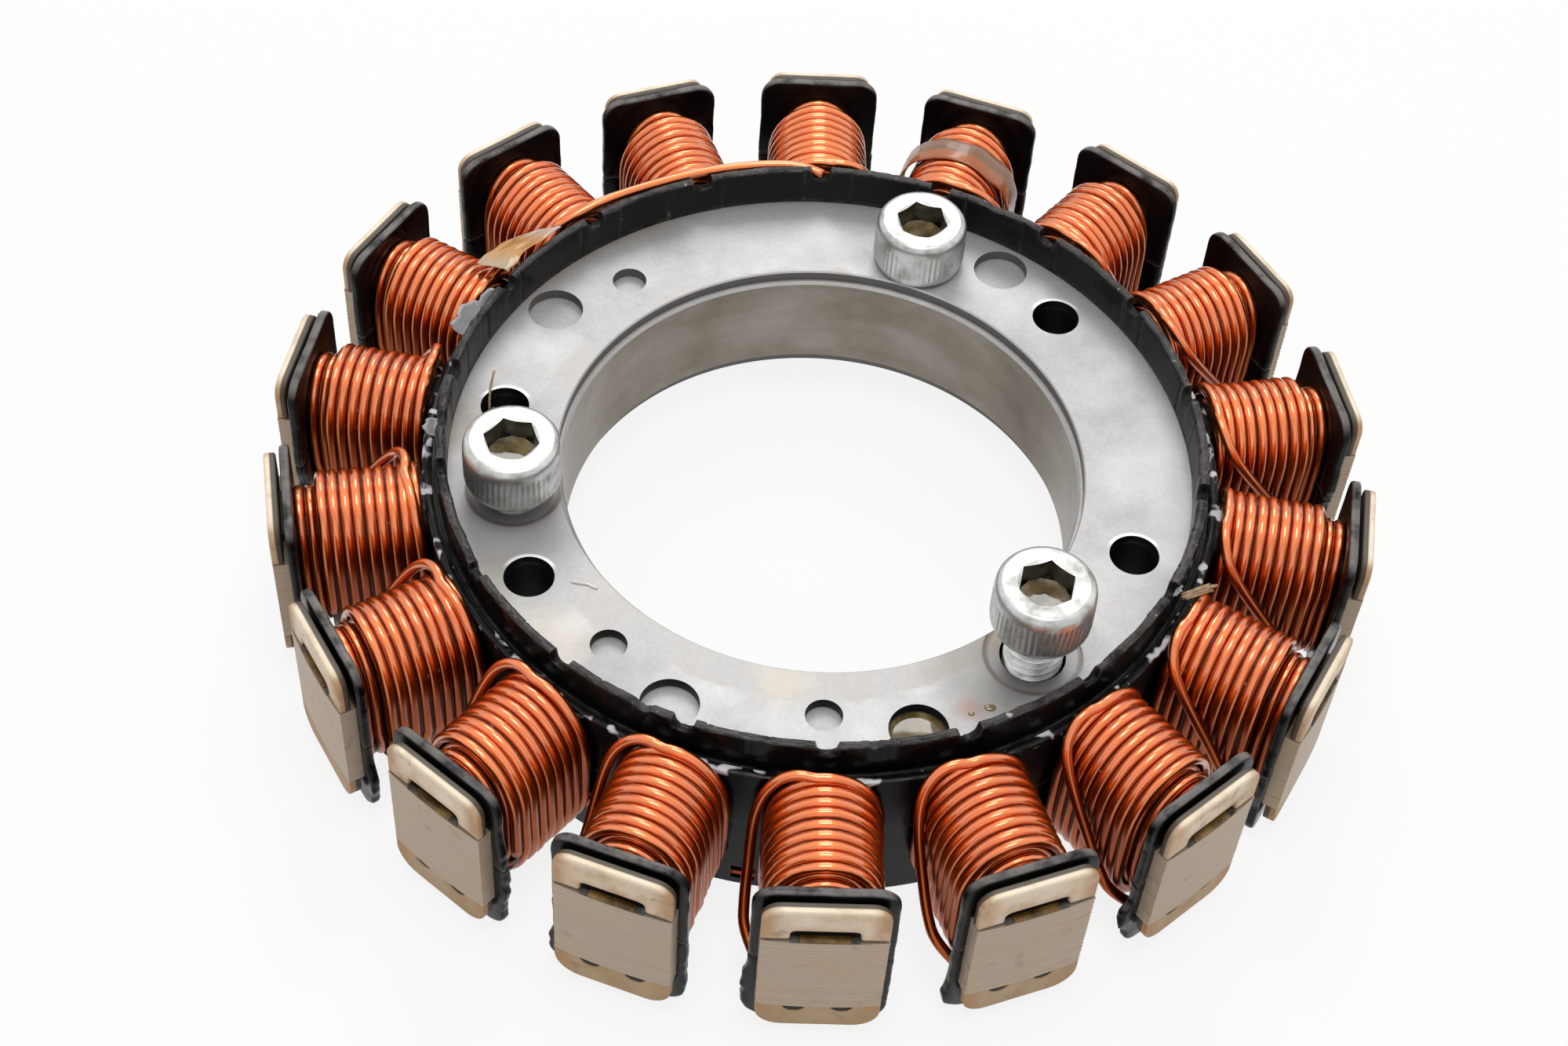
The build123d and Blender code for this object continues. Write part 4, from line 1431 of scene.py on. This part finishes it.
def tape():
    """A loose, wrinkled band round one coil."""
    base = loop_points(outer_half + wire_radius + 0.95, outer_crown + wire_radius + 0.2)
    finer = []
    for first, second in zip(base, base[1:] + base[:1]):
        finer += [first, ((first[0] + second[0]) / 2, (first[1] + second[1]) / 2)]
    count = len(finer)
    piece = tube("tape_wrap", finer, tape_near, tape_far, tape_rows)
    across = piece.data.uv_layers.new(name="UVMap")
    for loop in piece.data.loops:
        corner = loop.vertex_index
        across.data[loop.index].uv = (corner % count / count, corner // count / (tape_rows - 1))
    for vertex in piece.data.vertices:
        push_out(vertex, raggedness(vertex.co, 3.0, 21) * 0.22 + raggedness(vertex.co, 1.0, 22) * 0.08)
        flat = Vector((vertex.co.x, 0, vertex.co.z))
        vertex.co.y += raggedness(flat, 2.5, 23 + (vertex.co.y < -47 * MM)) * 0.35 * MM
    face_out(piece)
    apply(piece, "SOLIDIFY", thickness=0.14 * MM, offset=0)
    return smooth_all(to_pole(piece, tape_pole))


dress(tape(), band_tape, "amber_tape", "tape_band")

# %% Torn scrap of tape
bpy.ops.mesh.primitive_grid_add(x_subdivisions=28, y_subdivisions=12, size=1)
scrap = made("tape_scrap")
for vertex in scrap.data.vertices:
    along = vertex.co.x + 0.5
    across = vertex.co.y + 0.5
    tear = 0.8 * noise.noise(Vector((along * 4, across * 2, 9)))
    angle = -121.5 - (13.0 - 3.0 * across) * along + tear * 0.7
    radius = 39.8 + 4.1 * across * (1 - 0.35 * along**3) + tear * 0.35
    fold = 0.35 * noise.noise(Vector((along * 3, across * 4, 4)))
    vertex.co = spot(angle, radius, plate_top + 4.95 - 1.3 * across**1.3 + fold)
apply(scrap, "SOLIDIFY", thickness=0.1 * MM, offset=1)
apply(scrap, "SUBSURF", levels=1, render_levels=1)
take(scrap)
bpy.ops.mesh.customdata_custom_splitnormals_clear()
dress(smooth_all(scrap), scrap_tape, "amber_tape", "insulation_scrap")

# %% [markdown]
# Small things that the photograph shows: the frayed end of the lacing on one coil, a shaving of
# copper that hangs out of a hole, and two thin runs of clear varnish that dried on the plate.

# %% Frayed lacing, copper shaving and dried runs
dice = random.Random(77)
fray = []
for _ in range(16):
    side = dice.uniform(-0.45, 0.45)
    turn = side + dice.uniform(-0.3, 0.3)
    inner_end = (61.2 + turn, 40.2 + dice.uniform(-0.2, 0.5), 3.2 + dice.uniform(0, 0.3))
    outer_end = (64.2 + side * 1.6, 42.5 + dice.uniform(-0.5, 0.5), 3.75 + dice.uniform(-0.1, 0.35))
    start, end = over_plate([inner_end, outer_end])
    sag = Vector((dice.uniform(-0.15, 0.15), dice.uniform(-0.15, 0.15), dice.uniform(0.0, 0.3)))
    fibre = [start, (start + end) / 2 + sag, end]
    fray.append(wire("fibre", fibre, dice.uniform(0.07, 0.13), sides=1, smooth=True))
dress(join(fray, "lacing_end"), twine, "amber_tape")


def thin_wires(name, routes, material, slot):
    """Thin smooth wires over the plate, as one piece, from their radii and routes."""
    pieces = [wire(name, over_plate(route), radius, sides=2, smooth=True) for radius, route in routes]
    dress(join(pieces, name), material, slot)


hair = [(-98.3, 35.2, -2.2), (-99.6, 35.4, -0.6), (-101.3, 35.6, 0.5), (-103.5, 35.75, 1.1),
        (-105.6, 35.9, 1.2)]
curl = [(-99.0, 35.3, -0.3), (-98.2, 34.6, 0.8), (-97.2, 34.4, 0.9), (-96.6, 33.6, 0.4), (-95.9, 33.1, -0.4)]
thin_wires("copper_shaving", [(0.13, hair), (0.07, curl)], twine, "copper_wire")
long_run = [(-55.2, 30.4, 0.02), (-54.0, 29.9, 0.05), (-53.2, 29.3, 0.05), (-52.2, 29.1, 0.03),
            (-51.0, 28.8, 0.02)]
short_run = [(-90.5, 29.0, 0.02), (-88.2, 28.2, 0.05), (-86.6, 28.5, 0.03), (-85.2, 28.0, 0.02)]
thin_wires("varnish_runs", [(0.16, long_run), (0.16, short_run)], clear_varnish, "amber_tape")

# %% [markdown]
# The three M6 socket screws are zinc plated. The head is turned, its middle band pressed into
# fine teeth and the socket cut with a hexagon, whose rim gets a short lead-in.

# %% Head of a socket screw
head_height = 6.0
socket_floor = 3.0
socket_reach = 5 / sqrt(3)
knurl_teeth = 52
knurl_sides = 4 * knurl_teeth
knurl_low = 1.1
knurl_high = 4.3


def cone(name, low_radius, high_radius, low, high, sides):
    """A piece of a cone on the axis."""
    place = (0, 0, (low + high) / 2 * MM)
    bpy.ops.mesh.primitive_cone_add(vertices=sides, radius1=low_radius * MM, radius2=high_radius * MM,
                                    depth=(high - low) * MM, location=place)
    return made(name)


def screw_head():
    """The head at the origin, its seat at height zero."""
    section = [(4.3, 0.0), (4.72, 0.22), (4.93, 0.75), (4.96, knurl_low - 0.05), (5.0, knurl_low + 0.15),
               (5.0, knurl_high - 0.15), (4.97, knurl_high + 0.05), (4.96, 4.95), (4.87, 5.4), (4.68, 5.74),
               (4.4, 5.92), (4.1, head_height)]
    piece = turned("head", section, sides=knurl_sides, closed=False)
    for vertex in piece.data.vertices:
        number = round(atan2(vertex.co.y, vertex.co.x) / (2 * pi) * knurl_sides)
        if knurl_low < vertex.co.z / MM < knurl_high and number % 4 in (0, 1):
            vertex.co.xy *= 0.98
    face_out(piece, fill=True)
    place = (0, 0, (socket_floor + 3) * MM)
    bpy.ops.mesh.primitive_cylinder_add(vertices=6, radius=socket_reach * MM, depth=6 * MM, location=place)
    cut(piece, [made("hexagon")])
    cut(piece, [cone("lead in", 2.5, 3.1, head_height - 0.2, head_height + 0.1, 96)])
    return piece


# %% [markdown]
# The thread is a zigzag that the Screw modifier sweeps up by one pitch a turn, because that is how
# a thread is made, and rings stacked on each other would show. A small cone closes its tip.

# %% Shank of a socket screw
shank_length = 16.0
pitch = 1.0
crest = 2.98
root = 2.45


def screw_shank():
    """The threaded shank below the head."""
    low = -shank_length + 0.6
    points = []
    for turn in range(int(shank_length - 1)):
        base = low + pitch * turn
        points += [(crest - 0.05, base), (crest, base + 0.06), (root, base + 0.44), (root, base + 0.56),
                   (crest, base + 0.94)]
    mesh = bpy.data.meshes.new("thread")
    edges = [(at, at + 1) for at in range(len(points) - 1)]
    mesh.from_pydata([(x * MM, 0, z * MM) for x, z in points], edges, [])
    piece = add("thread", mesh)
    apply(piece, "SCREW", angle=2 * pi, screw_offset=pitch * MM, iterations=1, steps=48, render_steps=48,
          use_merge_vertices=True, merge_threshold=MM / 1000)
    face_out(piece, fill=True)
    return join([piece, cone("tip", 2.1, 2.6, -shank_length, -shank_length + 0.8, 48)], "shank")


# %% [markdown]
# Varnish ran down the screws and filled part of each socket. Its surface is a hexagon dished like
# a drop in a cup: a disc with rings of faces, whose outline is pulled in to the hexagon's sides.

# %% Varnish in a socket
pool_rings = 7
pool_reach = socket_reach - 0.03


def socket_pool(name):
    """The hexagon of varnish in a socket."""
    bpy.ops.mesh.primitive_circle_add(vertices=48, radius=pool_reach * MM, fill_type="NGON",
                                      location=(0, 0, socket_floor * MM))
    piece = made(name)
    whole(piece)
    for _ in range(pool_rings):
        bpy.ops.mesh.inset(thickness=pool_reach / (pool_rings + 1) * MM, depth=0)
    leave()
    for vertex in piece.data.vertices:
        turn = atan2(vertex.co.y, vertex.co.x)
        out = vertex.co.xy.length / (pool_reach * MM)
        vertex.co.xy *= cos(pi / 6) / cos((turn % (pi / 3)) - pi / 6)
        vertex.co.z += (0.3 + 0.2 * out**4) * MM
    return smooth_all(piece)


# %% Three screws standing in their holes
screw_lifts = (0.0, 1.8, 5.3)
hexagon_turns = (12, 20, 48)
standing = zip(screw_angles, screw_lifts, hexagon_turns)
for number, (angle, lift, hexagon_turn) in enumerate(standing, start=1):
    metal = join([screw_head(), screw_shank()], f"plated_screw_{number}")
    shade(metal, 32)
    apply(metal, "WEIGHTED_NORMAL", keep_sharp=True)
    for material in (zinc, socket):
        metal.data.materials.append(material)
    for face in metal.data.polygons:
        centre = face.center / MM
        if centre.xy.length < 2.95 and socket_floor - 0.1 < centre.z < head_height - 0.35:
            face.material_index = 1
    pool = socket_pool(f"socket_varnish_{number}")
    seat = spot(angle, screw_circle, plate_top + lift)
    for piece in (metal, pool):
        piece.data.transform(Matrix.Rotation(radians(hexagon_turn), 4, "Z"))
        piece.data.transform(Matrix.Translation(seat))
    dress(metal, zinc, "zinc_screw", f"socket_screw_{number}")
    dress(pool, varnish, "amber_tape")
